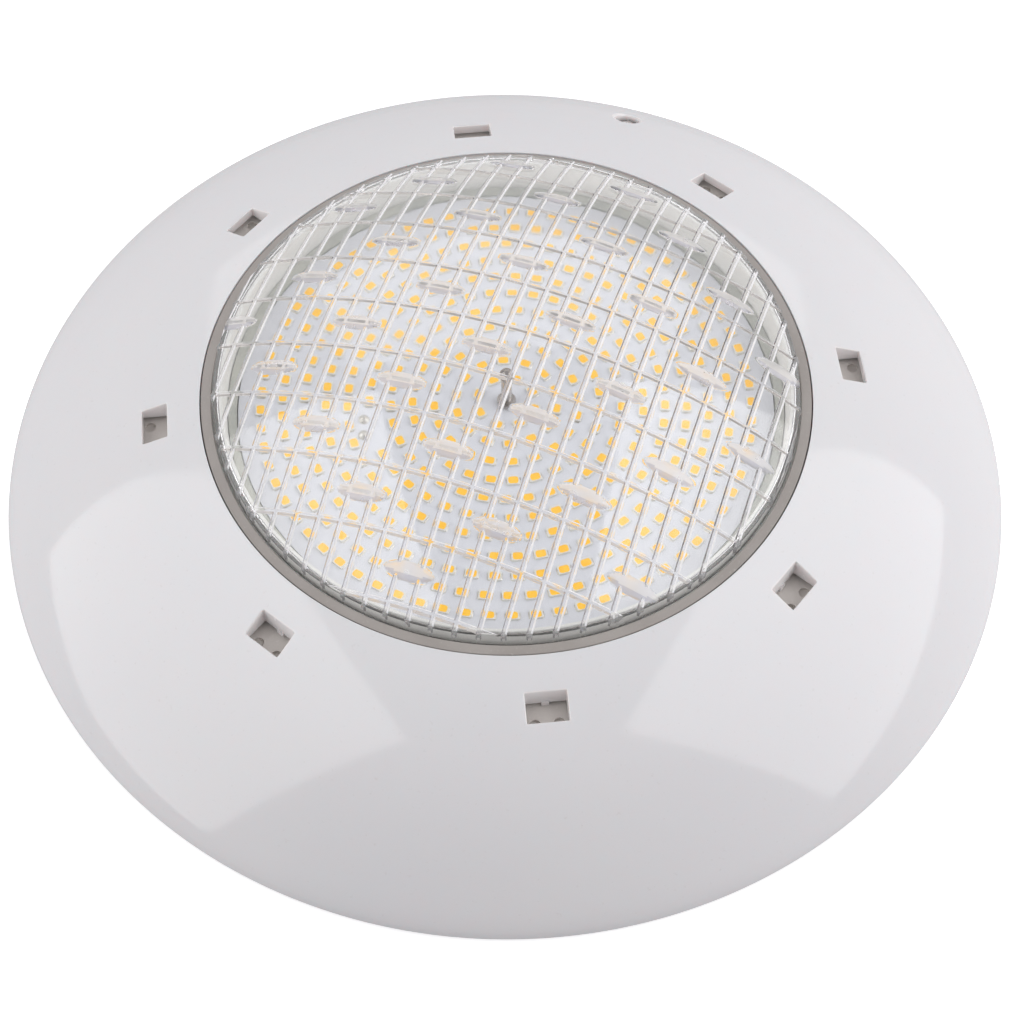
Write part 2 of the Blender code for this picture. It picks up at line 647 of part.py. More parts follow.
def make_driver_components(mats):
    floor = DRIVER_BOTTOM + DRIVER_THICKNESS + GAP
    top = floor + CAPACITOR_HEIGHT
    bevel = 0.0007
    can = [(0.0, floor), (CAPACITOR_RADIUS, floor), (CAPACITOR_RADIUS, top - bevel),
           (CAPACITOR_RADIUS - bevel, top), (0.0, top)]
    parts = []
    for index, place in enumerate(CAPACITOR_PLACES):
        def draw_can(bm):
            revolve(bm, can, 20, Matrix.Translation((*place, 0.0)))
        parts.append(build(f"capacitor_{index + 1}", mats["capacitor_sleeve"], draw_can))

    def draw_inductor(bm):
        top = floor + INDUCTOR_HEIGHT
        outline = [(INDUCTOR_INNER_RADIUS, floor), (INDUCTOR_OUTER_RADIUS - bevel, floor),
                   (INDUCTOR_OUTER_RADIUS, floor + bevel), (INDUCTOR_OUTER_RADIUS, top - bevel),
                   (INDUCTOR_OUTER_RADIUS - bevel, top), (INDUCTOR_INNER_RADIUS, top)]
        revolve(bm, outline, 24, Matrix.Translation((*INDUCTOR_PLACE, 0.0)))
    parts.append(build("inductor", mats["ferrite"], draw_inductor))
    black = mats["black_plastic"]
    parts.append(standing_box("bridge_rectifier", black, BRIDGE_PLACE, BRIDGE_SIZE, floor))
    parts.append(standing_box("driver_chip", black, CHIP_PLACE, CHIP_SIZE, floor))
    for index, side in enumerate((-1, 1)):
        def draw_pin(bm):
            cylinder(bm, PIN_RADIUS, floor, BOARD_BOTTOM - GAP, side * PIN_SPACING / 2, PIN_Y, 8)
        parts.append(build(f"lead_pin_{index + 1}", mats["tinned_copper"], draw_pin))
    return parts


# ---------------------------------------------------------------- lamp clamp ring

def make_lamp_clamp_ring(mats):
    outline = [(CLAMP_INNER_RADIUS, CLAMP_BOTTOM), (CLAMP_OUTER_RADIUS, CLAMP_BOTTOM),
               (CLAMP_OUTER_RADIUS, CLAMP_TOP), (LAMP_RADIUS, CLAMP_TOP),
               (LAMP_RADIUS, CLAMP_STEP_TOP), (CLAMP_INNER_RADIUS, CLAMP_STEP_TOP)]

    def draw(bm):
        revolve(bm, outline, RING_FACETS)
    ring = build("lamp_clamp_ring", mats["grey_abs"], draw)

    def cut(bm):
        for azimuth in clamp_screw_azimuths():
            x, y = polar(WINDOW_RADIUS, azimuth)
            cylinder(bm, CLAMP_PILOT_RADIUS, CLAMP_BOTTOM - 0.002, CLAMP_TOP + 0.002, x, y, 12)
        half = math.degrees(PIN_MARK_SPACING / 2 / WINDOW_RADIUS)
        for index in range(WINDOW_COUNT):
            middle = WINDOW_FIRST_AZIMUTH + index * 360.0 / WINDOW_COUNT
            for side in (-1, 1):
                x, y = polar(WINDOW_RADIUS + PIN_MARK_OFFSET, middle + side * half)
                cylinder(bm, PIN_MARK_RADIUS, CLAMP_TOP - PIN_MARK_DEPTH, CLAMP_TOP + 0.002,
                         x, y, 12)
    combine(ring, "DIFFERENCE", "clamp_ring_holes", cut)
    return ring


def make_clamp_screws(mats):
    head_top = CLAMP_BOTTOM - GAP
    head_bottom = head_top - CLAMP_SCREW_HEAD_HEIGHT
    outline = [(0.0, head_bottom), (CLAMP_SCREW_HEAD_RADIUS * 0.75, head_bottom),
               (CLAMP_SCREW_HEAD_RADIUS, head_bottom + 0.0008), (CLAMP_SCREW_HEAD_RADIUS, head_top),
               (CLAMP_SCREW_RADIUS, head_top), (CLAMP_SCREW_RADIUS, CLAMP_SCREW_TOP),
               (0.0, CLAMP_SCREW_TOP)]
    screws = []
    for index, azimuth in enumerate(clamp_screw_azimuths()):
        x, y = polar(WINDOW_RADIUS, azimuth)

        def draw(bm):
            revolve(bm, outline, 12, Matrix.Translation((x, y, 0.0)))
        screws.append(build(f"clamp_screw_{index + 1}", mats["stainless"], draw))
    return screws


# ---------------------------------------------------------------- cable gland

def make_cable_gland(mats):
    along = gland_matrix()
    hex_start = GLAND_BOSS_FACE + GAP
    hex_end = hex_start + GLAND_HEX_LENGTH

    def draw_body(bm):
        outline = [(GLAND_BORE_RADIUS, GLAND_INNER_END), (GLAND_THREAD_RADIUS, GLAND_INNER_END),
                   (GLAND_THREAD_RADIUS, GLAND_OUTER_END), (GLAND_BORE_RADIUS, GLAND_OUTER_END)]
        revolve(bm, outline, 24, along)
    body = build("gland_body", mats["nylon"], draw_body)

    def draw_hex(bm):
        outline = [(GLAND_HEX_BORE_RADIUS, hex_start), (GLAND_HEX_RADIUS, hex_start),
                   (GLAND_HEX_RADIUS, hex_end), (GLAND_HEX_BORE_RADIUS, hex_end)]
        revolve(bm, outline, 6, along)
    combine(body, "UNION", "gland_hexagon", draw_hex)

    def draw_seal(bm):
        end = GLAND_NUT_END - GLAND_NUT_LIP - GAP
        start = GLAND_OUTER_END + GAP
        outline = [(GLAND_SEAL_BORE_RADIUS, start), (GLAND_SEAL_RADIUS, start),
                   (GLAND_SEAL_RADIUS, end), (GLAND_SEAL_BORE_RADIUS, end)]
        revolve(bm, outline, 24, along)
    seal = build("gland_seal", mats["seal_rubber"], draw_seal)

    def draw_nut(bm):
        outline = circle_points(GLAND_HEX_RADIUS, 6)
        prism(bm, outline, along, hex_end + GAP, GLAND_NUT_SHOULDER)
    nut = build("gland_nut", mats["nylon"], draw_nut)

    def draw_nut_dome(bm):
        start = GLAND_NUT_DOME_START
        outline = [(0.0, start), (GLAND_NUT_DOME_RADIUS, start),
                   (GLAND_NUT_DOME_RADIUS, GLAND_NUT_END - GLAND_NUT_CHAMFER),
                   (GLAND_NUT_DOME_RADIUS * 0.8, GLAND_NUT_END), (0.0, GLAND_NUT_END)]
        revolve(bm, outline, 24, along)
    combine(nut, "UNION", "gland_nut_dome", draw_nut_dome)

    def cut_nut(bm):
        inside = GLAND_SEAL_RADIUS + GAP
        lip = GLAND_NUT_END - GLAND_NUT_LIP
        beyond = GLAND_NUT_END + 0.003
        outline = [(0.0, hex_start), (inside, hex_start), (inside, lip),
                   (GLAND_NUT_MOUTH_RADIUS, lip), (GLAND_NUT_MOUTH_RADIUS, beyond),
                   (0.0, beyond)]
        revolve(bm, outline, 24, along)
    combine(nut, "DIFFERENCE", "gland_nut_bore", cut_nut)

    def draw_locknut(bm):
        prism(bm, circle_points(LOCKNUT_HEX_RADIUS, 6), along,
              LOCKNUT_FACE - LOCKNUT_THICKNESS, LOCKNUT_FACE)
    locknut = build("gland_locknut", mats["nylon"], draw_locknut)

    def cut_locknut(bm):
        prism(bm, circle_points(GLAND_THREAD_RADIUS + GAP, 24), along,
              LOCKNUT_FACE - 0.010, LOCKNUT_FACE + 0.010)
    combine(locknut, "DIFFERENCE", "gland_locknut_bore", cut_locknut)
    return [body, seal, nut, locknut]


# ---------------------------------------------------------------- wall bracket and lock

def bracket_profile():
    return [(BRACKET_INNER_RADIUS, 0.0), (BRACKET_OUTER_RADIUS, 0.0),
            (BRACKET_OUTER_RADIUS, BRACKET_THICKNESS),
            (BRACKET_RIM_OUTER_RADIUS, BRACKET_THICKNESS),
            (BRACKET_RIM_OUTER_RADIUS, BRACKET_RIM_TOP),
            (BRACKET_RIM_INNER_RADIUS, BRACKET_RIM_TOP),
            (BRACKET_RIM_INNER_RADIUS, BRACKET_THICKNESS),
            (BRACKET_INNER_RADIUS, BRACKET_THICKNESS)]


def slot_outline(width, length, steps=5):
    """A slot with round ends, lengthwise along local Y."""
    radius = width / 2
    reach = length / 2 - radius
    outline = []
    for end, start in ((1, 0.0), (-1, 180.0)):
        for step in range(steps + 1):
            angle = math.radians(start + 180.0 * step / steps)
            outline.append((radius * math.cos(angle), end * reach + radius * math.sin(angle)))
    return outline


def make_wall_bracket(mats):
    def draw(bm):
        revolve(bm, bracket_profile(), BEZEL_FACETS)
    bracket = build("wall_bracket", mats["white_abs"], draw)

    def add(bm):
        cylinder(bm, BRACKET_BOSS_RADIUS, BRACKET_THICKNESS / 2, BRACKET_BOSS_TOP,
                 0.0, LOCK_RADIUS, 20)
        root = BRACKET_RIM_INNER_RADIUS + 0.0010
        tongue = [(root, TONGUE_BOTTOM), (TONGUE_END_RADIUS, TONGUE_BOTTOM),
                  (TONGUE_END_RADIUS, TONGUE_TOP), (root, TONGUE_TOP)]
        radial_prism(bm, tongue, TONGUE_WIDTH, -90.0)
    combine(bracket, "UNION", "bracket_boss_and_tongue", add)

    def cut(bm):
        cylinder(bm, BRACKET_HOLE_RADIUS, BRACKET_HOLE_BOTTOM, BRACKET_BOSS_TOP + 0.005,
                 0.0, LOCK_RADIUS, 20)
        outline = slot_outline(FIXING_SLOT_WIDTH, FIXING_SLOT_LENGTH)
        for azimuth in (45.0, 135.0, 225.0, 315.0):
            x, y = polar(FIXING_CIRCLE_RADIUS, azimuth)
            place = Matrix.Translation((x, y, 0.0)) @ azimuth_matrix(azimuth)
            prism(bm, outline, place, -0.005, BRACKET_THICKNESS + 0.005)
    combine(bracket, "DIFFERENCE", "bracket_holes", cut)
    return bracket


def make_lock_washer(mats):
    bottom = LOCK_RECESS_FLOOR + GAP
    top = bottom + LOCK_WASHER_HEIGHT
    outline = [(LOCK_WASHER_BORE_RADIUS, bottom), (LOCK_HEAD_RADIUS, bottom),
               (LOCK_HEAD_RADIUS, top), (LOCK_WASHER_BORE_RADIUS, top)]

    def draw(bm):
        revolve(bm, outline, SMALL_FACETS, Matrix.Translation((0.0, LOCK_RADIUS, 0.0)))
    return build("lock_washer", mats["nylon"], draw, (0.0, LOCK_RADIUS, bottom))


def make_lock_screw(mats):
    head = LOCK_RECESS_FLOOR + LOCK_WASHER_HEIGHT + 2 * GAP
    top = head + LOCK_HEAD_HEIGHT
    tip = LOCK_SHANK_TIP
    outline = [(0.0, tip), (LOCK_SHANK_RADIUS * 0.6, tip), (LOCK_SHANK_RADIUS, tip + 0.0012),
               (LOCK_SHANK_RADIUS, head), (LOCK_HEAD_RADIUS, head),
               (LOCK_HEAD_RADIUS, top - 0.0008), (LOCK_HEAD_RADIUS * 0.7, top), (0.0, top)]

    def draw(bm):
        revolve(bm, outline, SMALL_FACETS, Matrix.Translation((0.0, LOCK_RADIUS, 0.0)))
    screw = build("lock_screw", mats["stainless"], draw, (0.0, LOCK_RADIUS, head))

    def cut(bm):
        half = LOCK_HEAD_RADIUS + 0.001
        box(bm, (-half, LOCK_RADIUS - SLOT_WIDTH / 2, top - SLOT_DEPTH),
            (half, LOCK_RADIUS + SLOT_WIDTH / 2, top + 0.001))
    combine(screw, "DIFFERENCE", "lock_screw_slot", cut)
    return screw


# ---------------------------------------------------------------- assembly

def clear_scene():
    for obj in list(bpy.data.objects):
        bpy.data.objects.remove(obj, do_unlink=True)


def ride_on(parent, children):
    for child in children:
        offset = child.location - parent.location
        child.parent = parent
        child.location = offset


def main():
    clear_scene()
    mats = make_materials()
    make_wall_bracket(mats)
    bezel = make_bezel(mats)
    unit = [make_lens(mats), make_lens_ring(mats), make_lens_gasket(mats),
            make_lamp_housing(mats), make_potting_ring(mats), make_led_board(mats),
            make_centre_stud(mats), make_driver_board(mats), make_lamp_clamp_ring(mats)]
    unit += make_driver_screws(mats)
    unit += make_driver_components(mats)
    unit += make_clamp_screws(mats)
    unit += make_cable_gland(mats)
    washer = make_lock_washer(mats)
    screw = make_lock_screw(mats)
    ride_on(washer, [screw])
    ride_on(bezel, unit + [washer])


main()
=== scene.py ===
"""Looks of a wall-mounted underwater pool light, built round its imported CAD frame.

Metres, +Z is the beam direction, and round pieces are turned about the Z axis.
The lens is one clear moulding with a grid of beads and rows of small oval lenses on it.
"""
import json
import math

import bmesh
import bpy
import numpy as np
from mathutils import Matrix, Vector


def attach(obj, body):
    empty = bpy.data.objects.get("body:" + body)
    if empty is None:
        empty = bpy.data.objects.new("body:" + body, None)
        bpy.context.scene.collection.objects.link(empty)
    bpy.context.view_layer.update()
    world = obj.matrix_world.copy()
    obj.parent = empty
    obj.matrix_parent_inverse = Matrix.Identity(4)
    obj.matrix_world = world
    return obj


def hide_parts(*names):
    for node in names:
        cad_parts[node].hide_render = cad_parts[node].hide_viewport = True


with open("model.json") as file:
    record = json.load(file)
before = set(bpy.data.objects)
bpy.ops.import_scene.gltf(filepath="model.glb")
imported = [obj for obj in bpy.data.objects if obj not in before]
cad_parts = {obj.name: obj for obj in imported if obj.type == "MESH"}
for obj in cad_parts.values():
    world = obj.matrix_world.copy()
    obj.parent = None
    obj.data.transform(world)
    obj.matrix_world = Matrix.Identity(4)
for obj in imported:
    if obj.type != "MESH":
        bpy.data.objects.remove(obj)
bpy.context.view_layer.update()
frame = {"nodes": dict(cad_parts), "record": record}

GAP = 0.0003                      # space left between two pieces that touch
EDGE = 0.0003                     # rounding of a moulded edge
OVERCUT = 0.002                   # how far a cutter reaches past what it cuts
WALL_OVERLAP = 0.0002             # how far a wall stands in the hole that trims it
WELD_DISTANCE = 0.000003          # slivers narrower than this are closed up

# Bezel: a dished ring whose section is one arc from the lens opening to the rim
BEZEL_RADIUS = 0.145
BEZEL_ARC_RADIUS = 0.114
BEZEL_THICKNESS = 0.0025
RIM_HEIGHT = 0.004
RIM_BOTTOM = 0.0008
RIM_ROUNDING = 0.0050
RIM_FOOT_ROUNDING = 0.0008
OPENING_RADIUS = 0.0849
OPENING_HEIGHT = 0.0445
LIP_UNDERSIDE = 0.0407
LIP_OUTER_RADIUS = 0.0886
LIP_DRAFT = 0.0002
FACE_TOLERANCE = 0.00004          # a point this near the arc lies on the bezel's face
WALL_SLOPE = 0.9                  # a hole's wall has a flatter normal than this

# Water windows through the bezel, each with a collar behind it
WINDOW_COUNT = 8
WINDOW_RADIUS = 0.0978
WINDOW_FIRST_AZIMUTH = 24.5
WINDOW_WIDTH = 0.0110
WINDOW_DEPTH = 0.0072
WINDOW_CORNER = 0.0003
COLLAR_WALL = 0.0014
COLLAR_BOTTOM = 0.0350
NUB_WIDTH = 0.0020
NUB_DROP = 0.0009
NUB_THICKNESS = 0.0008

# Ribs, bosses and ledge inside the bezel
RIB_FIRST_AZIMUTH = 12.0
RIB_INNER_RADIUS = 0.1045
RIB_OUTER_RADIUS = 0.1385
RIB_WIDTH = 0.0020
RIB_DEPTH = 0.0050
LOCK_RADIUS = 0.1195
LOCK_RECESS_RADIUS = 0.0037
LOCK_RECESS_FLOOR = 0.0210
LOCK_RECESS_ROUNDING = 0.0011
LOCK_HOLE_RADIUS = 0.0028
LOCK_BOSS_WIDTH = 0.0120
LOCK_BOSS_BOTTOM = 0.0150
LEDGE_WIDTH = 0.0240
LEDGE_INNER_RADIUS = 0.1362
LEDGE_OUTER_RADIUS = 0.1438
LEDGE_TOP = 0.0026

# Lock screw and its washer
LOCK_HEAD_RADIUS = 0.0033
LOCK_HEAD_HEIGHT = 0.0021
LOCK_SHANK_RADIUS = 0.0024
LOCK_SHANK_TIP = 0.0085
LOCK_WASHER_HEIGHT = 0.0008
LOCK_WASHER_PLAY = 0.0002
LOCK_SLOT_WIDTH = 0.0011
LOCK_SLOT_DEPTH = 0.0011
THREAD_PITCH = 0.0030
THREAD_DEPTH = 0.0005
THREAD_CREST_SHARE = 0.4          # share of the pitch that the thread's crest stands on
THREAD_RUN_OUT = 0.0008           # the thread fades over this height at both ends
THREAD_LAYERS = 16                # rings of points in one turn of the thread
THREAD_BOTTOM = LOCK_SHANK_TIP + 0.0012
THREAD_TOP = 0.0203

# Lens: a shallow dome on a short upright wall, with a flange at its foot
LENS_RADIUS = 0.0815
LENS_DOME_BASE = 0.0477
LENS_APEX = 0.0720
LENS_THICKNESS = 0.0020
LENS_FLANGE_RADIUS = 0.0836
LENS_FLANGE_TOP = 0.0426
LENS_FLANGE_BOTTOM = 0.0401
LENS_FILLET = 0.0008              # between the lens's wall and the underside of its dome
BEAD_FOOT = 0.0457                # where a bead ends on the wall
BEAD_PITCH = 0.00619              # beads that run along Y
CROSS_PITCH = 0.0156              # beads that run along X
BEAD_HALF_WIDTH = 0.00074
BEAD_TOP_SHARE = 0.45             # flat share of a bead's width
BEAD_RELIEF = 0.0005
BEAD_TURN_SHARE = 0.35            # beads that slope less than this across the edge stop there
BEAD_TURN_ROWS = (                # (inset, drop, share of the bead) from the dome to the wall
    (0.00012, 0.00005, 0.55), (0.00003, 0.0002, 0.85), (0.0, 0.00045, 1.0))
BEAD_END_ROWS = (                 # (drop below the bead's foot, share of the bead)
    (0.0, 1.0), (0.0004, 0.75), (0.0006, 0.3), (0.0007, 0.0))
OVAL_HALF_LENGTH = 0.0072
OVAL_HALF_WIDTH = 0.0023
OVAL_RELIEF = 0.0007
OVAL_STEP = 6                     # beads from one oval to the next in its row
OVAL_REACH = 0.078
OVAL_ROWS = 6                     # rows on each side of the middle
OVAL_TURNS = 3                    # and ovals on each side of a row's first
OVAL_FIRST = (2.5, -0.5)          # where even and odd rows start, in beads from the middle
FLANK_SHARE = 0.02                # a bead's flank lies between this share of its relief
TOP_SHARE = 0.98                  # and this one
# the lower edge of an oval, below the share given next, gets a painted shade
OVAL_SHADE_SHARE = -0.4           # an oval is in shade below this share of its half-width

# Where the lens's grid lines run, as shares of a bead's or an oval's half-width, and in metres
# from the bead in the plain gaps between them
BEAD_LINES = (0.0, 0.25, 0.45, 0.56, 0.67, 0.78, 0.89, 1.0, 1.15)
OVAL_LINES = (0.0, 0.2, 0.4, 0.6, 0.75, 0.87, 0.95, 1.0, 1.06)
LENS_EDGE_LINES = 70              # beyond this many degrees, one line for each degree
BEAD_GAP_LINES = [0.0014, 0.0019, 0.0024, 0.0028, 0.0030]
CROSS_GAP_LINES = [0.0016, 0.0027, 0.0038]

# Order of the lens's materials
CLEAR, FLANK_HIGHLIGHT, TOP, SHADE, OVAL, OVAL_SHADE, CROSS_SHADE = range(7)

# Rings under the lens
LENS_RING_TOP = 0.0442
LENS_RING_STEP_TOP = 0.0403
LAMP_RADIUS = 0.0884
GASKET_INNER_RADIUS = 0.0795
GASKET_OUTER_RADIUS = 0.0834
POTTING_TOP = 0.0363
POTTING_EDGE = 0.0004             # how thick the resin ends on the board

# LED board
BOARD_RADIUS = 0.0748
BOARD_BOTTOM = 0.0339
BOARD_TOP = 0.0355
LED_RING_COUNT = 11
LED_FIRST_RADIUS = 0.00815
LED_RING_STEP = 0.00604
LED_PITCH = 0.00622
LED_LENGTH = 0.0035
LED_WIDTH = 0.0028
LED_HEIGHT = 0.0007
PHOSPHOR_LENGTH = 0.0027
PHOSPHOR_WIDTH = 0.0021
PAD_PLACES = ((-0.0358, -0.0182), (-0.0340, -0.0231))
PAD_CLEARANCE = 0.0034
LED_RING_TURN = 137.5             # each ring starts this many degrees after the last
STUD_RADIUS = 0.00145
STUD_FLANGE_RADIUS = 0.0026
STUD_FLANGE_HEIGHT = 0.0012
STUD_HEAD_RADIUS = 0.0021
STUD_BOTTOM = 0.0265
STUD_TOP = 0.0505
STUD_HOLE_RADIUS = 0.0018
STUD_LINE_PITCH = 0.0006
STUD_LINE_DEPTH = 0.0001

# Lamp housing and what clamps it
HOUSING_BOTTOM = 0.0055
HOUSING_RADIUS = 0.0810
HOUSING_WALL = 0.0030
HOUSING_CHAMFER = 0.0050
HOUSING_FLANGE_TOP = 0.0380
HOUSING_FLANGE_BOTTOM = 0.0350
HOUSING_COLLAR_RADIUS = 0.0791
HOUSING_COLLAR_TOP = 0.0463
BOARD_LEDGE_RADIUS = 0.0725
BOARD_LEDGE_TOP = 0.0336
BOARD_LEDGE_DEPTH = 0.0015
BOARD_LEDGE_ROOT = 0.0275
FIN_COUNT = 24
FIN_INNER_RADIUS = 0.0300
FIN_OUTER_RADIUS = 0.0745
FIN_WIDTH = 0.0016
FIN_DEPTH = 0.0022
FIN_FIRST_AZIMUTH = 7.5
FIN_CHAMFER = 0.0012
FIN_CHAMFER_HEIGHT = 0.0008
CLAMP_INNER_RADIUS = 0.0814
CLAMP_OUTER_RADIUS = 0.1030
CLAMP_BOTTOM = 0.0312
CLAMP_TOP = 0.0338
CLAMP_STEP_TOP = 0.0347
CLAMP_SCREW_COUNT = 4
CLAMP_SCREW_FIRST_AZIMUTH = 47.0
CLAMP_BOSS_WIDTH = 0.0080
CLAMP_SCREW_RADIUS = 0.0014
CLAMP_SCREW_HEAD_RADIUS = 0.0033
CLAMP_SCREW_HEAD_HEIGHT = 0.0020
CLAMP_SCREW_TOP = 0.0374
CLAMP_PILOT_TOP = 0.0379
CLAMP_PILOT_RADIUS = 0.0018
PIN_MARK_RADIUS = 0.0015
PIN_MARK_DEPTH = 0.0010
PIN_MARK_SPACING = 0.0062
PIN_MARK_OFFSET = 0.0019

# Cable gland, along -X
GLAND_HEIGHT = 0.0190
GLAND_THREAD_RADIUS = 0.0060
GLAND_BORE_RADIUS = 0.0042
GLAND_HEX_RADIUS = 0.0098
GLAND_BOSS_RADIUS = 0.0112
GLAND_BOSS_FACE = 0.0840
GLAND_INNER_END = 0.0705
GLAND_OUTER_END = 0.0930
GLAND_HEX_LENGTH = 0.0040
GLAND_NUT_END = 0.1010
GLAND_NUT_LIP = 0.0030
GLAND_NUT_SHOULDER = 0.0965
GLAND_NUT_DOME_RADIUS = 0.0078
GLAND_NUT_ROUNDING = 0.0025
GLAND_NUT_MOUTH_RADIUS = 0.0046
GLAND_SEAL_RADIUS = 0.0062

# Wall bracket
BRACKET_INNER_RADIUS = 0.104
BRACKET_OUTER_RADIUS = 0.130
BRACKET_THICKNESS = 0.0032
BRACKET_RIM_INNER_RADIUS = 0.1265
BRACKET_RIM_OUTER_RADIUS = 0.1290
BRACKET_RIM_TOP = 0.0090
BRACKET_BOSS_RADIUS = 0.0068
BRACKET_BOSS_TOP = 0.0146
BRACKET_HOLE_RADIUS = 0.0031
BRACKET_HOLE_BOTTOM = 0.0060
FIXING_CIRCLE_RADIUS = 0.1160
FIXING_SLOT_WIDTH = 0.0055
FIXING_SLOT_LENGTH = 0.0100
BRACKET_OVERCUT = 0.005
BRACKET_OVERLAP = 0.001           # how far ribs and tongue reach into the rim
TONGUE_WIDTH = 0.0280
TONGUE_END_RADIUS = 0.1375
TONGUE_BOTTOM = 0.0044
TONGUE_TOP = 0.0066
GUSSET_COUNT = 8
GUSSET_FIRST_AZIMUTH = 22.5
GUSSET_WIDTH = 0.0016

# Camera, in the lamp's own frame
CAMERA_AZIMUTH = 18.0             # turned from the side opposite the lock screw
CAMERA_REACH = 0.3411
CAMERA_HEIGHT = 0.5253
CAMERA_LENS_MM = 74.6
CAMERA_ROLL = 0.79
AIM_SIDEWAYS = 0.0019
AIM_NEARER = 0.0164
AIM_HEIGHT = 0.0040

# Room brightness as (elevation in degrees, radiance), and how it varies from side to side
ROOM_LEVELS = ((-60.0, 0.59), (-20.0, 0.66), (10.0, 0.50), (40.0, 0.23), (90.0, 0.31))
ROOM_COLOUR = (0.985, 0.975, 1.0, 1.0)
ROOM_NEAR_LOSS = 0.215
ROOM_RIGHT_GAIN = 0.32

# Softboxes: (name, degrees from the camera, elevation, distance, size, radiance)
SOFTBOXES = (
    ("softbox_right", 84.0, 37.0, 1.2, (1.3, 1.35), 1.54),
    ("softbox_left", -77.0, 33.5, 1.2, (1.36, 1.55), 1.48),
    ("softbox_back", 180.0, 42.0, 1.4, (1.8, 0.9), 0.8))
FLOOR_REACH = 6.0
FLOOR_DROP = 0.0002
FLOOR_GLOW = 0.45

# Facets of round pieces
FINE_FACETS = 360
RING_FACETS = 240
SMALL_FACETS = 40
GLAND_FACETS = 48
LOCK_FACETS = 48
HEAD_FACETS = 32
PILOT_FACETS = 24
RECESS_FACETS = 64


# ---------------------------------------------------------------- outlines and solids

def azimuth_matrix(degrees):
    return Matrix.Rotation(math.radians(degrees), 4, "Z")


def polar(radius, azimuth):
    angle = math.radians(azimuth)
    return radius * math.cos(angle), radius * math.sin(angle)


def spaced(first, count):
    return [first + index * 360.0 / count for index in range(count)]


def at(x, y, z=0.0):
    return Matrix.Translation((x, y, z))


def between(first, last, steps):
    """Evenly spaced values from the first to the last, both included."""
    return [first + (last - first) * step / steps for step in range(steps + 1)]


def arc(x, y, radius, degrees):
    """Points round (x, y) at the given angles."""
    angles = [math.radians(angle) for angle in degrees]
    return [(x + radius * math.cos(angle), y + radius * math.sin(angle)) for angle in angles]


def box(inner, outer, bottom, top):
    return [(inner, bottom), (outer, bottom), (outer, top), (inner, top)]


def soft_turn(start, corner, end, steps):
    """A curve that leaves its start, and reaches its end, in line with the corner."""
    return [tuple(start.lerp(corner, share).lerp(corner.lerp(end, share), share))
            for share in between(0.0, 1.0, steps)]


def rounded(outline, radius, steps=3):
    """Round each real corner of a closed (radius, height) outline."""
    result = []
    count = len(outline)
    for index, corner in enumerate(outline):
        here = Vector(corner)
        before = Vector(outline[index - 1]) - here
        after = Vector(outline[(index + 1) % count]) - here
        turn = math.pi - before.angle(after)
        if here.x == 0.0 or turn < math.radians(20.0):
            result.append(tuple(here))
            continue
        reach = min(radius, before.length * 0.45, after.length * 0.45)
        start = here + before.normalized() * reach
        end = here + after.normalized() * reach
        result += soft_turn(start, here, end, steps)
    return result


def revolve(bm, profile, facets, matrix=Matrix.Identity(4)):
    """Turn a closed outline of (radius, height) points about Z; radius 0 is a point."""
    rings = []
    for radius, height in profile:
        if radius == 0.0:
            rings.append([bm.verts.new(matrix @ Vector((0.0, 0.0, height)))])
            continue
        ring = []
        for step in range(facets):
            angle = 2.0 * math.pi * step / facets
            point = Vector((radius * math.cos(angle), radius * math.sin(angle), height))
            ring.append(bm.verts.new(matrix @ point))
        rings.append(ring)
    for ring, following in zip(rings, rings[1:] + rings[:1]):
        if len(ring) == 1 and len(following) == 1:
            continue
        for step in range(facets):
            after = (step + 1) % facets
            corners = [ring[step % len(ring)], ring[after % len(ring)],
                       following[after % len(following)], following[step % len(following)]]
            bm.faces.new(list(dict.fromkeys(corners)))


def loft(bm, layers):
    """Close a stack of equal-length rings of points into one solid."""
    rings = [[bm.verts.new(point) for point in layer] for layer in layers]
    count = len(rings[0])
    bm.faces.new(rings[0])
    bm.faces.new(rings[-1])
    for ring, following in zip(rings, rings[1:]):
        for corner in range(count):
            after = (corner + 1) % count
            bm.faces.new([ring[corner], ring[after], following[after], following[corner]])


def prism(bm, outline, matrix, start, end):
    """Extrude a closed outline of (x, y) points along the matrix's local Z."""
    loft(bm, [[matrix @ Vector((x, y, level)) for x, y in outline] for level in (start, end)])


def soft_prism(bm, outline, matrix, start, end, bevel=EDGE):
    """A prism whose two end faces have small chamfers."""
    middle = sum((Vector(point) for point in outline), Vector((0.0, 0.0))) / len(outline)
    layers = []
    for level, inset in ((start, bevel), (start + bevel, 0.0), (end - bevel, 0.0), (end, bevel)):
        layer = []
        for point in outline:
            offset = Vector(point) - middle
            kept = middle + offset * (1.0 - inset / offset.length)
            layer.append(matrix @ Vector((kept.x, kept.y, level)))
        layers.append(layer)
    loft(bm, layers)


def radial_prisms(bm, outline, width, azimuths):
    """Extrude a (radius, height) outline sideways, centred on each azimuth."""
    upright = Matrix.Rotation(math.radians(90.0), 4, "X")
    for azimuth in azimuths:
        prism(bm, outline, azimuth_matrix(azimuth) @ upright, -width / 2, width / 2)


def cylinder(bm, radius, bottom, top, x=0.0, y=0.0, facets=SMALL_FACETS):
    revolve(bm, box(0.0, radius, bottom, top), facets, at(x, y))


def circle_points(radius, count):
    return [polar(radius, 360.0 * step / count) for step in range(count)]


def rounded_rectangle(width, height, corner, steps=3):
    """Outline of a rectangle with round corners, centred on the origin."""
    points = []
    for start, side, end in ((0.0, 1, 1), (90.0, -1, 1), (180.0, -1, -1), (270.0, 1, -1)):
        points += arc(side * (width / 2 - corner), end * (height / 2 - corner), corner,
                      between(start, start + 90.0, steps))
    return points


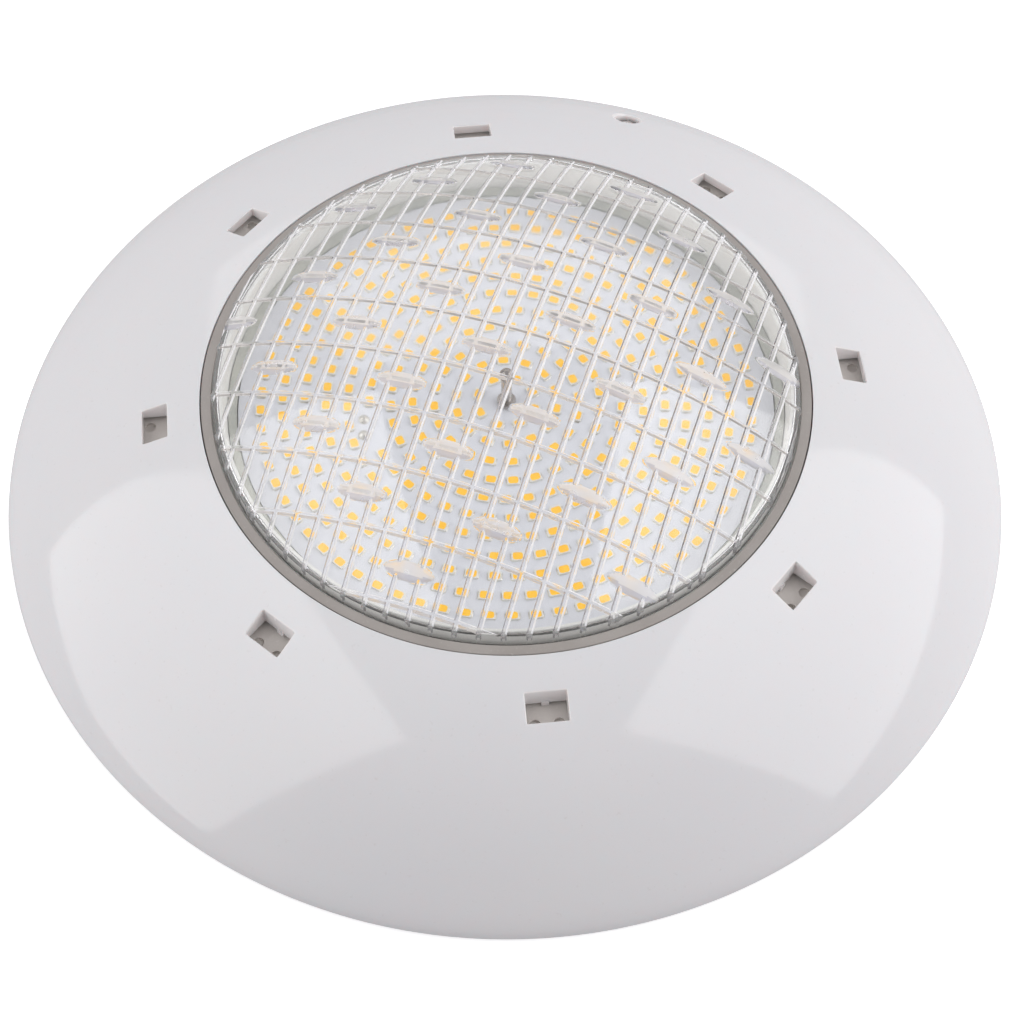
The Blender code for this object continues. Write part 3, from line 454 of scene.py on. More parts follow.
def slot_outline(width, length, steps=8):
    """A slot with round ends, lengthwise along local Y."""
    radius = width / 2
    reach = length / 2 - radius
    return (arc(0.0, reach, radius, between(0.0, 180.0, steps))
            + arc(0.0, -reach, radius, between(180.0, 360.0, steps)))


def soften(mesh, sharp_degrees):
    mesh.shade_smooth()
    mesh.set_sharp_from_angle(angle=math.radians(sharp_degrees))


def add_to_scene(name, data):
    obj = bpy.data.objects.new(name, data)
    bpy.context.scene.collection.objects.link(obj)
    return obj


def finish_object(name, bm, sharp_degrees=30.0):
    bmesh.ops.recalc_face_normals(bm, faces=bm.faces)
    mesh = bpy.data.meshes.new(name)
    bm.to_mesh(mesh)
    bm.free()
    soften(mesh, sharp_degrees)
    return add_to_scene(name, mesh)


def build(name, draw, sharp_degrees=30.0):
    bm = bmesh.new()
    draw(bm)
    return finish_object(name, bm, sharp_degrees)


def from_lists(name, points, faces, sharp_degrees):
    """An object from ready-made points and faces."""
    mesh = bpy.data.meshes.new(name)
    mesh.from_pydata(points, [], faces)
    bm = bmesh.new()
    bm.from_mesh(mesh)
    return finish_object(name, bm, sharp_degrees)


def combine(target, operation, draw, sharp_degrees=30.0):
    """Add or cut a helper shape with a Boolean, apply it and remove the helper."""
    helper = build("helper", draw)
    modifier = target.modifiers.new("combine", "BOOLEAN")
    modifier.operation = operation
    modifier.solver = "EXACT"
    modifier.object = helper
    evaluated = target.evaluated_get(bpy.context.evaluated_depsgraph_get())
    mesh = bpy.data.meshes.new_from_object(evaluated)
    mesh.name = target.name
    target.modifiers.clear()
    target.data = mesh
    mesh.materials.clear()
    soften(mesh, sharp_degrees)
    bpy.data.objects.remove(helper)


def weld(mesh):
    """Close up the slivers that two cuts leave where they meet."""
    bm = bmesh.new()
    bm.from_mesh(mesh)
    bmesh.ops.remove_doubles(bm, verts=bm.verts[:], dist=WELD_DISTANCE)
    bmesh.ops.dissolve_degenerate(bm, edges=bm.edges[:], dist=WELD_DISTANCE)
    bm.to_mesh(mesh)
    bm.free()


def add_looks(obj, looks):
    for look in looks:
        obj.data.materials.append(MATS[look])


def place(obj, slot, *nodes, body="light_unit", look=None):
    """Hide the nodes a piece stands for, put it in its body and give it its material: the look, or
    else the one named by its record slot.
    """
    obj.data.materials.clear()
    add_looks(obj, [look or slot])
    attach(obj, body)
    if nodes:
        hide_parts(*nodes)


# ---------------------------------------------------------------- materials

def add_node(tree, kind, inputs, **settings):
    """A node with its settings, and with a constant or a link in each input that is given."""
    node = tree.nodes.new(kind)
    for key, value in settings.items():
        setattr(node, key, value)
    for socket, value in inputs.items():
        if isinstance(value, bpy.types.NodeSocket):
            tree.links.new(value, node.inputs[socket])
        else:
            node.inputs[socket].default_value = value
    return node


class Surface:
    """A Principled material built from a few layers of object-space noise."""

    def __init__(self, name, colour, roughness, **constants):
        self.name = name
        self.mat = bpy.data.materials.new(name)
        self.mat.use_nodes = True
        self.tree = self.mat.node_tree
        self.shader = self.tree.nodes["Principled BSDF"]
        self.colour = (*colour, 1.0)
        self.normal = None
        self.coordinates = self.node("ShaderNodeTexCoord", {}).outputs["Object"]
        self.shader.inputs["Base Color"].default_value = self.colour
        self.shader.inputs["Roughness"].default_value = roughness
        for socket, value in constants.items():
            self.shader.inputs[socket.replace("_", " ")].default_value = value

    def node(self, kind, inputs, **settings):
        return add_node(self.tree, kind, inputs, **settings)

    def feed(self, socket, value):
        self.tree.links.new(value, self.shader.inputs[socket])

    def noise(self, scale, detail=3.0, stretch=None):
        """Noise whose scale is in features per metre."""
        vector = self.coordinates
        if stretch:
            mapping = self.node("ShaderNodeMapping", {"Vector": vector, "Scale": stretch})
            vector = mapping.outputs["Vector"]
        inputs = {"Vector": vector, "Scale": scale, "Detail": detail}
        return self.node("ShaderNodeTexNoise", inputs).outputs["Fac"]

    def cells(self, scale, feature):
        """Distances in a pattern of cells, for bubbles or the edges of copper tracks."""
        inputs = {"Vector": self.coordinates, "Scale": scale}
        return self.node("ShaderNodeTexVoronoi", inputs, feature=feature).outputs["Distance"]

    def ranged(self, value, low, high, start=0.3, end=0.7):
        inputs = {"Value": value, "From Min": start, "From Max": end, "To Min": low, "To Max": high}
        return self.node("ShaderNodeMapRange", inputs).outputs["Result"]

    def tint(self, value, other, start=0.35, end=0.65):
        """Blend the base colour towards another one where the value is high."""
        mix = self.node("ShaderNodeMix", {6: self.colour, 7: (*other, 1.0)}, data_type="RGBA")
        before = self.shader.inputs["Base Color"]
        if before.is_linked:
            self.tree.links.new(before.links[0].from_socket, mix.inputs[6])
        self.tree.links.new(self.ranged(value, 0.0, 1.0, start, end), mix.inputs[0])
        self.feed("Base Color", mix.outputs[2])

    def vary_roughness(self, value, low, high, start=0.3, end=0.7):
        self.feed("Roughness", self.ranged(value, low, high, start, end))

    def relief(self, value, depth, strength=1.0):
        """Add one layer of bump; depth is in metres."""
        inputs = {"Height": value, "Distance": depth, "Strength": strength}
        if self.normal:
            inputs["Normal"] = self.normal
        self.normal = self.node("ShaderNodeBump", inputs).outputs["Normal"]
        self.feed("Normal", self.normal)


# Surfaces that noise alone can draw: (name, colour, roughness, shader settings, tints,
# (noise scale, lowest, highest) of the roughness, (noise scale, detail, depth, strength) of
# the relief). A tint is (noise scale, detail, other colour) and, where it isn't the usual
# range, the noise values between which it fades in.
NOISE_SURFACES = (
    # Bezel plastic where it is thin enough for light to soak through it, coloured lighter and
    # warmer than the bezel's face as a painted glow of that light
    ("hole_wall_painted_glow", (0.885, 0.845, 0.845), 0.2,
     {"IOR": 1.52, "Subsurface_Weight": 0.4, "Subsurface_Scale": 0.003,
      "Subsurface_Radius": (1.0, 0.8, 0.77)},
     [(60.0, 3.0, (0.865, 0.825, 0.825))], (200.0, 0.15, 0.28), (1400.0, 2.0, 0.000006, 0.5)),
    # The same plastic with the fine spark texture of a hidden part
    ("bracket_abs", (0.78, 0.76, 0.765), 0.42, {"IOR": 1.52},
     [(20.0, 3.0, (0.75, 0.73, 0.73))], (350.0, 0.34, 0.5), (2600.0, 4.0, 0.00004, 0.5)),
    ("grey_ring", (0.385, 0.355, 0.335), 0.42, {"IOR": 1.5},
     [(70.0, 3.0, (0.35, 0.32, 0.30)), (1500.0, 2.0, (0.44, 0.41, 0.39), 0.62, 0.78)],
     (260.0, 0.34, 0.5), (2400.0, 3.0, 0.00003, 0.5)),
    ("seal_rubber", (0.10, 0.10, 0.10), 0.68, {"IOR": 1.45},
     [(240.0, 3.0, (0.15, 0.15, 0.148))], (900.0, 0.6, 0.8), (3000.0, 3.0, 0.00003, 0.6)),
    ("light_silicone", (0.62, 0.61, 0.58), 0.6,
     {"IOR": 1.42, "Subsurface_Weight": 0.15, "Subsurface_Scale": 0.0008},
     [(240.0, 3.0, (0.56, 0.55, 0.52))], (900.0, 0.52, 0.72), (3000.0, 3.0, 0.00003, 0.6)),
    ("light_abs", (0.80, 0.79, 0.76), 0.4, {"IOR": 1.5},
     [(34.0, 3.0, (0.76, 0.75, 0.72))], (300.0, 0.32, 0.5), (2000.0, 4.0, 0.00003, 0.5)),
    ("grey_abs", (0.70, 0.665, 0.63), 0.45, {"IOR": 1.5},
     [(34.0, 3.0, (0.65, 0.62, 0.585)), (1100.0, 2.0, (0.75, 0.715, 0.69), 0.62, 0.8)],
     (300.0, 0.36, 0.54), (2000.0, 4.0, 0.00004, 0.5)),
    ("led_frame", (0.84, 0.83, 0.78), 0.4, {"IOR": 1.5},
     [(700.0, 3.0, (0.79, 0.78, 0.72))], (900.0, 0.34, 0.48), (5000.0, 2.0, 0.00001, 0.5)),
    # Silicone filled with phosphor grains, a little deeper in colour in places, with a faint
    # painted glow from emission though the LEDs are off
    ("phosphor", (0.95, 0.52, 0.03), 0.4,
     {"IOR": 1.41, "Emission_Color": (1.0, 0.48, 0.0, 1.0), "Emission_Strength": 0.22},
     [(420.0, 2.0, (0.96, 0.58, 0.06)), (9000.0, 2.0, (0.88, 0.44, 0.02), 0.55, 0.8)],
     (1500.0, 0.3, 0.46), (7000.0, 2.0, 0.00001, 0.5)),
    ("tinned_copper", (0.70, 0.68, 0.64), 0.3, {"Metallic": 1.0},
     [(800.0, 3.0, (0.58, 0.55, 0.50))], (1200.0, 0.24, 0.45), (2500.0, 2.0, 0.00002, 0.5)),
    ("nylon", (0.76, 0.75, 0.70), 0.46, {"IOR": 1.53},
     [(120.0, 3.0, (0.71, 0.70, 0.64))], (500.0, 0.38, 0.56), (1800.0, 4.0, 0.00003, 0.5)),
    ("black_plastic", (0.03, 0.03, 0.03), 0.42, {"IOR": 1.5},
     [(300.0, 3.0, (0.05, 0.05, 0.05))], (800.0, 0.34, 0.52), (3500.0, 3.0, 0.00002, 0.5)),
    ("capacitor_sleeve", (0.04, 0.05, 0.10), 0.42, {"IOR": 1.5},
     [(300.0, 3.0, (0.06, 0.07, 0.13))], (800.0, 0.34, 0.52), (3500.0, 3.0, 0.00002, 0.5)),
)

# Finishes of the lens: milky bead tops and ovals from the mould, plus a painted highlight and
# painted shade on bead flanks and oval edges: (transmission, roughness, colour)
MILKY_AND_PAINTED_LENS = {
    # painted highlight: a white right or far flank of a bead
    "bead_flank_painted_highlight": (0.15, 0.3, (0.98, 0.97, 0.985)),
    "bead_top": (0.82, 0.12, (0.98, 0.97, 0.985)),
    # painted shade: a dark tinted left flank of a bead
    "bead_shade": (0.9, 0.1, (0.38, 0.36, 0.40)),
    "oval_lens": (0.66, 0.3, (0.98, 0.955, 0.95)),
    # painted shade: the lower edge of an oval
    "oval_shade": (0.75, 0.3, (0.70, 0.69, 0.76)),
    # painted shade: the near flank of a cross bead
    "cross_shade": (0.5, 0.25, (0.84, 0.79, 0.76)),
}


def noise_surface(name, colour, roughness, settings, tints, rubbing, grain):
    skin = Surface(name, colour, roughness, **settings)
    for scale, detail, other, *span in tints:
        skin.tint(skin.noise(scale, detail), other, *span)
    skin.vary_roughness(skin.noise(rubbing[0]), *rubbing[1:])
    skin.relief(skin.noise(*grain[:2]), *grain[2:])
    return skin


def milky_and_painted_lens(name, transmission, roughness, colour):
    skin = Surface(name, colour, roughness, IOR=1.5, Transmission_Weight=transmission)
    skin.tint(skin.noise(110.0, 2.0), tuple(0.965 * share for share in colour))
    skin.vary_roughness(skin.noise(160.0, 2.0), roughness * 0.85, roughness * 1.15)
    return skin


def white_abs():
    """Glossy moulded ABS: sink waviness, fine orange peel and a few rubbed streaks."""
    skin = Surface("white_abs", (0.805, 0.795, 0.81), 0.1, IOR=1.52, Subsurface_Weight=0.3,
                   Subsurface_Scale=0.003, Subsurface_Radius=(1.0, 0.7, 0.65))
    skin.tint(skin.noise(14.0), (0.795, 0.785, 0.805))
    skin.tint(skin.noise(900.0, 2.0), (0.755, 0.74, 0.75), 0.66, 0.80)
    skin.vary_roughness(skin.noise(60.0, 4.0, (1.0, 14.0, 1.0)), 0.06, 0.12, 0.35, 0.75)
    skin.relief(skin.noise(28.0, 1.0), 0.00016, 0.35)
    skin.relief(skin.noise(1400.0, 2.0), 0.000006, 0.5)
    return skin


def clear_lens():
    """Clear polycarbonate, with slight moulding ripple and finely rubbed patches."""
    skin = Surface("clear_lens", (0.985, 0.992, 0.995), 0.04, IOR=1.56,
                   Transmission_Weight=1.0, Sheen_Weight=0.5, Sheen_Roughness=0.5)
    skin.vary_roughness(skin.noise(45.0, 4.0), 0.03, 0.08, 0.4, 0.75)
    skin.relief(skin.noise(160.0, 2.0), 0.00004, 0.35)
    return skin


def resin():
    """Cast potting resin: glossy, slightly uneven, with tiny trapped bubbles."""
    skin = Surface("resin", (0.52, 0.52, 0.46), 0.25, IOR=1.5)
    skin.tint(skin.noise(120.0), (0.42, 0.43, 0.39))
    skin.tint(skin.cells(900.0, "F1"), (0.66, 0.66, 0.62), 0.25, 0.05)
    skin.vary_roughness(skin.noise(200.0), 0.16, 0.34)
    skin.relief(skin.noise(90.0, 2.0), 0.0003, 0.6)
    return skin


def white_board():
    """White solder mask over copper, with the copper's edges showing as low steps."""
    skin = Surface("white_board", (0.78, 0.79, 0.84), 0.34, IOR=1.5)
    skin.tint(skin.noise(60.0), (0.75, 0.76, 0.81))
    tracks = skin.cells(115.0, "DISTANCE_TO_EDGE")
    skin.tint(tracks, (0.745, 0.755, 0.805), 0.05, 0.03)
    skin.vary_roughness(skin.noise(500.0), 0.28, 0.42)
    skin.relief(skin.ranged(tracks, 0.0, 1.0, 0.03, 0.05), 0.00002, 0.5)
    skin.relief(skin.noise(2600.0, 3.0), 0.00001, 0.5)
    return skin


def green_board():
    skin = Surface("green_board", (0.05, 0.25, 0.12), 0.35, IOR=1.5)
    tracks = skin.cells(260.0, "DISTANCE_TO_EDGE")
    skin.tint(tracks, (0.03, 0.17, 0.08), 0.06, 0.03)
    skin.vary_roughness(skin.noise(700.0), 0.28, 0.44)
    skin.relief(skin.ranged(tracks, 0.0, 1.0, 0.03, 0.06), 0.00003, 0.7)
    return skin


def stainless():
    """Turned stainless steel with fine tool lines round its axis."""
    skin = Surface("stainless", (0.62, 0.61, 0.595), 0.26, Metallic=1.0)
    skin.tint(skin.noise(500.0), (0.52, 0.51, 0.50))
    lines = skin.noise(900.0, 3.0, (1.0, 1.0, 14.0))
    skin.vary_roughness(lines, 0.18, 0.38)
    skin.relief(lines, 0.00002, 0.6)
    return skin


def post_steel():
    """Polished steel of the centre post, with a few drawn lines along it."""
    skin = Surface("post_steel", (0.36, 0.33, 0.31), 0.14, Metallic=1.0)
    skin.tint(skin.noise(700.0, 2.0, (1.0, 1.0, 0.2)), (0.48, 0.45, 0.43))
    skin.vary_roughness(skin.noise(900.0, 2.0), 0.08, 0.2)
    skin.relief(skin.noise(1500.0, 2.0, (1.0, 1.0, 0.1)), 0.00001, 0.4)
    return skin


def ferrite():
    """Enamelled wire wound round a ferrite ring."""
    skin = Surface("ferrite", (0.42, 0.17, 0.05), 0.3, IOR=1.5)
    turns = skin.noise(1.0, 0.0, (60.0, 1700.0, 60.0))
    skin.tint(turns, (0.24, 0.09, 0.03), 0.4, 0.6)
    skin.vary_roughness(skin.noise(600.0), 0.22, 0.4)
    skin.relief(turns, 0.0003, 0.8)
    return skin


def make_materials():
    skins = [white_abs(), clear_lens(), resin(), white_board(), green_board(), stainless(),
             post_steel(), ferrite()]
    skins += [noise_surface(*surface) for surface in NOISE_SURFACES]
    skins += [milky_and_painted_lens(name, *finish) for name, finish in MILKY_AND_PAINTED_LENS.items()]
    return {skin.name: skin.mat for skin in skins}


MATS = make_materials()


# ---------------------------------------------------------------- bezel

def bezel_arc_centre():
    start = Vector((OPENING_RADIUS, OPENING_HEIGHT))
    end = Vector((BEZEL_RADIUS, RIM_HEIGHT))
    chord = end - start
    outward = Vector((-chord.y, chord.x)).normalized()
    drop = math.sqrt(BEZEL_ARC_RADIUS ** 2 - (chord.length / 2) ** 2)
    return (start + end) / 2 - outward * drop


ARC_CENTRE = bezel_arc_centre()


def bezel_height(radius, depth=0.0):
    """Height of the bezel's section at a radius, a given depth under its outer face."""
    reach = BEZEL_ARC_RADIUS - depth
    return ARC_CENTRE.y + math.sqrt(reach ** 2 - (radius - ARC_CENTRE.x) ** 2)


def rim_curve(steps=8):
    """The rim: from the arc to its upright outer face in one soft turn."""
    start = Vector((BEZEL_RADIUS - RIM_ROUNDING, bezel_height(BEZEL_RADIUS - RIM_ROUNDING)))
    slope = Vector((start.y - ARC_CENTRE.y, ARC_CENTRE.x - start.x)).normalized()
    middle = start + slope * ((BEZEL_RADIUS - start.x) / slope.x)
    end = Vector((BEZEL_RADIUS, RIM_BOTTOM + RIM_FOOT_ROUNDING))
    return soft_turn(start, middle, end, steps)


def bezel_line(first, last, depth, steps, drop=0.0):
    """Points along the bezel's section, at a depth under its outer face."""
    return [(radius, bezel_height(radius, depth) - drop)
            for radius in between(first, last, steps)]


def bezel_profile(steps=46, inner_steps=16):
    rim_inside = BEZEL_RADIUS - BEZEL_THICKNESS
    foot = RIM_FOOT_ROUNDING
    face = bezel_line(OPENING_RADIUS + EDGE, BEZEL_RADIUS - RIM_ROUNDING, 0.0, steps)
    return (face[:-1] + rim_curve()
            + [(BEZEL_RADIUS - foot / 4, RIM_BOTTOM + foot / 4), (BEZEL_RADIUS - foot, RIM_BOTTOM),
               (rim_inside, RIM_BOTTOM)]
            + bezel_line(rim_inside, LIP_OUTER_RADIUS, BEZEL_THICKNESS, inner_steps)
            + [(LIP_OUTER_RADIUS - LIP_DRAFT, LIP_UNDERSIDE), (OPENING_RADIUS, LIP_UNDERSIDE),
               (OPENING_RADIUS, OPENING_HEIGHT - EDGE),
               (OPENING_RADIUS + EDGE * 0.3, OPENING_HEIGHT - EDGE * 0.3)])


def under_bezel(inner, outer, bottom, steps=4):
    """Outline of a feature that grows down from inside the bezel's wall."""
    return ([(inner, bottom + EDGE), (inner + EDGE, bottom), (outer - EDGE, bottom),
             (outer, bottom + EDGE)] + bezel_line(outer, inner, BEZEL_THICKNESS / 2, steps))


def rib_outline(steps=10):
    inner, outer = RIB_INNER_RADIUS, RIB_OUTER_RADIUS
    return (bezel_line(inner, outer, BEZEL_THICKNESS, steps, RIB_DEPTH)
            + bezel_line(outer, inner, BEZEL_THICKNESS / 2, steps))


def window_azimuths():
    return spaced(WINDOW_FIRST_AZIMUTH, WINDOW_COUNT)


def clamp_screw_azimuths():
    return spaced(CLAMP_SCREW_FIRST_AZIMUTH, CLAMP_SCREW_COUNT)


def draw_bezel_additions(bm):
    collar = under_bezel(WINDOW_RADIUS - WINDOW_DEPTH / 2 - COLLAR_WALL,
                         WINDOW_RADIUS + WINDOW_DEPTH / 2 + COLLAR_WALL, COLLAR_BOTTOM)
    half = CLAMP_BOSS_WIDTH / 2
    boss = under_bezel(WINDOW_RADIUS - half, WINDOW_RADIUS + half, CLAMP_TOP + GAP)
    half = LOCK_BOSS_WIDTH / 2
    lock = under_bezel(LOCK_RADIUS - half, LOCK_RADIUS + half, LOCK_BOSS_BOTTOM)
    ledge = box(LEDGE_INNER_RADIUS, LEDGE_OUTER_RADIUS, RIM_BOTTOM, LEDGE_TOP)
    for outline, width, azimuths in (
            (collar, WINDOW_WIDTH + 2 * COLLAR_WALL, window_azimuths()),
            (rib_outline(), RIB_WIDTH, spaced(RIB_FIRST_AZIMUTH, WINDOW_COUNT)),
            (boss, CLAMP_BOSS_WIDTH, clamp_screw_azimuths()),
            (lock, LOCK_BOSS_WIDTH, [90.0]), (ledge, LEDGE_WIDTH, [-90.0])):
        radial_prisms(bm, outline, width, azimuths)


def flare_depths(rounding=EDGE):
    """(depth under the face, how far the hole has opened there) for a rounded edge."""
    depths = []
    for degrees in (0.0, 30.0, 60.0, 90.0):
        angle = math.radians(degrees)
        depths.append((rounding * (1.0 - math.sin(angle)), rounding * (1.0 - math.cos(angle))))
    return depths


def hole_layer(outline, middle, turn, level=None, depth=0.0):
    """One layer of a hole's cutter: flat at a level, or at a depth under the bezel's face."""
    points = []
    for x, y in outline:
        x, y = middle[0] + x, middle[1] + y
        height = bezel_height(math.hypot(x, y), depth) if level is None else level
        points.append(turn @ Vector((x, y, height)))
    return points


def window_cutter(bm, azimuth):
    """A hole whose upper edge flares out along the bezel's own surface."""
    def layer(extra, *heights):
        outline = rounded_rectangle(WINDOW_DEPTH + 2 * extra, WINDOW_WIDTH + 2 * extra,
                                    WINDOW_CORNER + extra)
        return hole_layer(outline, (WINDOW_RADIUS, 0.0), azimuth_matrix(azimuth), *heights)

    layers = [layer(EDGE, COLLAR_BOTTOM - OVERCUT), layer(EDGE, COLLAR_BOTTOM),
              layer(0.0, COLLAR_BOTTOM + EDGE)]
    layers += [layer(opened, None, depth) for depth, opened in flare_depths()]
    loft(bm, layers + [layer(EDGE * 1.6, OPENING_HEIGHT + 2 * OVERCUT)])


def recess_cutter(bm):
    """Screw hole and recess at the top of the bezel, with a softened upper edge."""
    def layer(radius, *heights):
        return hole_layer(circle_points(radius, RECESS_FACETS), (0.0, LOCK_RADIUS),
                          Matrix.Identity(4), *heights)

    layers = [layer(LOCK_HOLE_RADIUS, LOCK_BOSS_BOTTOM - OVERCUT),
              layer(LOCK_HOLE_RADIUS, LOCK_RECESS_FLOOR),
              layer(LOCK_RECESS_RADIUS, LOCK_RECESS_FLOOR)]
    layers += [layer(LOCK_RECESS_RADIUS + opened, None, depth)
               for depth, opened in flare_depths(LOCK_RECESS_ROUNDING)]
    top = layer(LOCK_RECESS_RADIUS + LOCK_RECESS_ROUNDING + EDGE, OPENING_HEIGHT)
    loft(bm, layers + [top])


def draw_bezel_cuts(bm):
    for azimuth in window_azimuths():
        window_cutter(bm, azimuth)
    for azimuth in clamp_screw_azimuths():
        x, y = polar(WINDOW_RADIUS, azimuth)
        cylinder(bm, CLAMP_PILOT_RADIUS, CLAMP_BOTTOM, CLAMP_PILOT_TOP, x, y, PILOT_FACETS)
    recess_cutter(bm)


def draw_nubs(bm):
    """A small tab hangs from the inner wall of each collar."""
    inner = WINDOW_RADIUS - WINDOW_DEPTH / 2 - NUB_THICKNESS
    outer = WINDOW_RADIUS - WINDOW_DEPTH / 2 + NUB_THICKNESS * 0.5
    foot = COLLAR_BOTTOM - NUB_DROP
    outline = [(inner, COLLAR_BOTTOM + EDGE), (inner, foot + EDGE), (inner + EDGE, foot),
               (outer - EDGE, foot), (outer, foot + EDGE), (outer, COLLAR_BOTTOM + EDGE * 4)]
    radial_prisms(bm, outline, NUB_WIDTH, window_azimuths())


def mesh_values(items, name, width=3, kind=float):
    """One attribute of every vertex, face or corner of a mesh, as rows of numbers."""
    values = np.empty(len(items) * width, dtype=kind)
    items.foreach_get(name, values)
    return values.reshape(-1, width) if width > 1 else values


def shade_bezel_face(mesh):
    """Give the outer face its exact normals, so that its gloss isn't broken near a hole."""
    points = mesh_values(mesh.vertices, "co")
    radius = np.hypot(points[:, 0], points[:, 1])
    offset = np.hypot(radius - ARC_CENTRE.x, points[:, 2] - ARC_CENTRE.y) - BEZEL_ARC_RADIUS
    on_face = (np.abs(offset) < FACE_TOLERANCE) & (radius < BEZEL_RADIUS - RIM_ROUNDING + 1e-4)
    outward = np.stack([points[:, 0] / radius * (radius - ARC_CENTRE.x),
                        points[:, 1] / radius * (radius - ARC_CENTRE.x),
                        points[:, 2] - ARC_CENTRE.y], axis=1)
    outward /= np.linalg.norm(outward, axis=1)[:, None]
    corner_normals = mesh_values(mesh.corner_normals, "vector")
    owner = mesh_values(mesh.loops, "vertex_index", 1, np.int32)
    starts = mesh_values(mesh.polygons, "loop_start", 1, np.int32)
    whole = np.logical_and.reduceat(on_face[owner], starts)
    sizes = np.diff(np.append(starts, len(mesh.loops)))
    chosen = np.repeat(whole, sizes)
    corner_normals[chosen] = outward[owner[chosen]]
    mesh.normals_split_custom_set(corner_normals)


def paint_hole_wall_glow(mesh):
    """Give the thin walls of the windows and of the screw recess their own finish: the bezel
    plastic with a painted glow.
    """
    upright = np.abs(mesh_values(mesh.polygons, "normal")[:, 2]) < WALL_SLOPE
    x, y = mesh_values(mesh.polygons, "center").T[:2]
    inside = np.hypot(x, y - LOCK_RADIUS) < LOCK_RECESS_RADIUS + LOCK_RECESS_ROUNDING
    for azimuth in window_azimuths():
        angle = math.radians(azimuth)
        outward = x * math.cos(angle) + y * math.sin(angle) - WINDOW_RADIUS
        sideways = y * math.cos(angle) - x * math.sin(angle)
        inside |= ((np.abs(outward) < WINDOW_DEPTH / 2 + EDGE)
                   & (np.abs(sideways) < WINDOW_WIDTH / 2 + EDGE))
    mesh.polygons.foreach_set("material_index", (inside & upright).astype(np.int32))


def make_bezel():
    bezel = build("bezel_face_ring", lambda bm: revolve(bm, bezel_profile(), FINE_FACETS))
    combine(bezel, "UNION", draw_bezel_additions)
    combine(bezel, "DIFFERENCE", draw_bezel_cuts)
    combine(bezel, "UNION", draw_nubs, 14.0)
    shade_bezel_face(bezel.data)
    place(bezel, "white_abs", "bezel")
    add_looks(bezel, ["hole_wall_painted_glow"])
    paint_hole_wall_glow(bezel.data)


# ---------------------------------------------------------------- lens

def sphere_radius():
    rise = LENS_APEX - LENS_DOME_BASE
    return (LENS_RADIUS ** 2 + rise ** 2) / (2 * rise)


def dome_height(radius, depth=0.0):
    reach = sphere_radius() - depth
    return LENS_APEX - sphere_radius() + np.sqrt(reach ** 2 - radius ** 2)


def bead_section(distance):
    """A bead's cross-section as a share of its relief: flat on top with sloping flanks."""
    share = np.clip(np.abs(distance) / BEAD_HALF_WIDTH, 0.0, 1.0)
    fall = np.clip((share - BEAD_TOP_SHARE) / (1.0 - BEAD_TOP_SHARE), 0.0, 1.0)
    return 1.0 - fall ** 2 * (3.0 - 2.0 * fall)


def oval_centres():
    """Rows of oval lenses, midway between cross beads and staggered from row to row."""
    centres = []
    for row in range(-OVAL_ROWS, OVAL_ROWS):
        first = OVAL_FIRST[row % 2]
        y = (row + 0.5) * CROSS_PITCH
        for turn in range(-OVAL_TURNS, OVAL_TURNS + 1):
            x = (first + OVAL_STEP * turn) * BEAD_PITCH
            if math.hypot(x, y) < OVAL_REACH:
                centres.append((x, y))
    return centres


def off_bead(position, pitch):
    """Signed distance from the nearest bead of one set."""
    return position - np.round(position / pitch) * pitch


def bead_height(x, y):
    """Height of the beads alone, as a share of their full relief."""
    along = bead_section(off_bead(x, BEAD_PITCH))
    across = bead_section(off_bead(y, CROSS_PITCH))
    return np.maximum(along, across)


def bead_on_wall(x, y):
    """As bead_height, but only for the beads that meet the lens's edge steeply."""
    reach = np.hypot(x, y)
    along = bead_section(off_bead(x, BEAD_PITCH)) * (np.abs(y) > BEAD_TURN_SHARE * reach)
    across = bead_section(off_bead(y, CROSS_PITCH)) * (np.abs(x) > BEAD_TURN_SHARE * reach)
    return np.maximum(along, across)


def oval_share(x, y):
    """How far across the nearest oval a point lies: -1 to 1 inside, beyond that outside."""
    share = np.full(x.shape, 9.0)
    width = np.ones(x.shape)
    for centre_x, centre_y in oval_centres():
        along = (x - centre_x) / OVAL_HALF_LENGTH
        taper = np.clip(1.0 - np.abs(along) ** 2.4, 1e-6, 1.0)
        across = (y - centre_y) / (OVAL_HALF_WIDTH * taper)
        inside = np.abs(across) < 1.0
        share = np.where(inside, across, share)
        width = np.where(inside, taper, width)
    return share, width


def lens_relief(x, y):
    """Height of beads and ovals over the plain dome."""
    share, width = oval_share(x, y)
    swell = np.sqrt(np.clip(1.0 - share ** 2, 0.0, 1.0) * width)
    return np.maximum(BEAD_RELIEF * bead_height(x, y), OVAL_RELIEF * swell)


def mirrored(offsets):
    return sorted({sign * offset for offset in offsets for sign in (-1, 1)})


def grid_lines(pitch, offsets, limit):
    """Grid lines that crowd round each bead and thin out between beads."""
    count = int(limit / pitch) + 1
    lines = {round(index * pitch + offset, 7)
             for index in range(-count, count + 1) for offset in mirrored(offsets)}
    return sorted(line for line in lines if abs(line) < limit)


def stitch(faces, left, right, y):
    """Fill the strip between two columns of vertices, both in order of y."""
    a = b = 0
    while a < len(left) - 1 or b < len(right) - 1:
        next_a = y[left[a + 1]] if a < len(left) - 1 else math.inf
        next_b = y[right[b + 1]] if b < len(right) - 1 else math.inf
        if abs(next_a - next_b) < 1e-9:
            faces.append((left[a], right[b], right[b + 1], left[a + 1]))
            a += 1
            b += 1
        elif next_a < next_b:
            faces.append((left[a], right[b], left[a + 1]))
            a += 1
        else:
            faces.append((left[a], right[b], right[b + 1]))
            b += 1


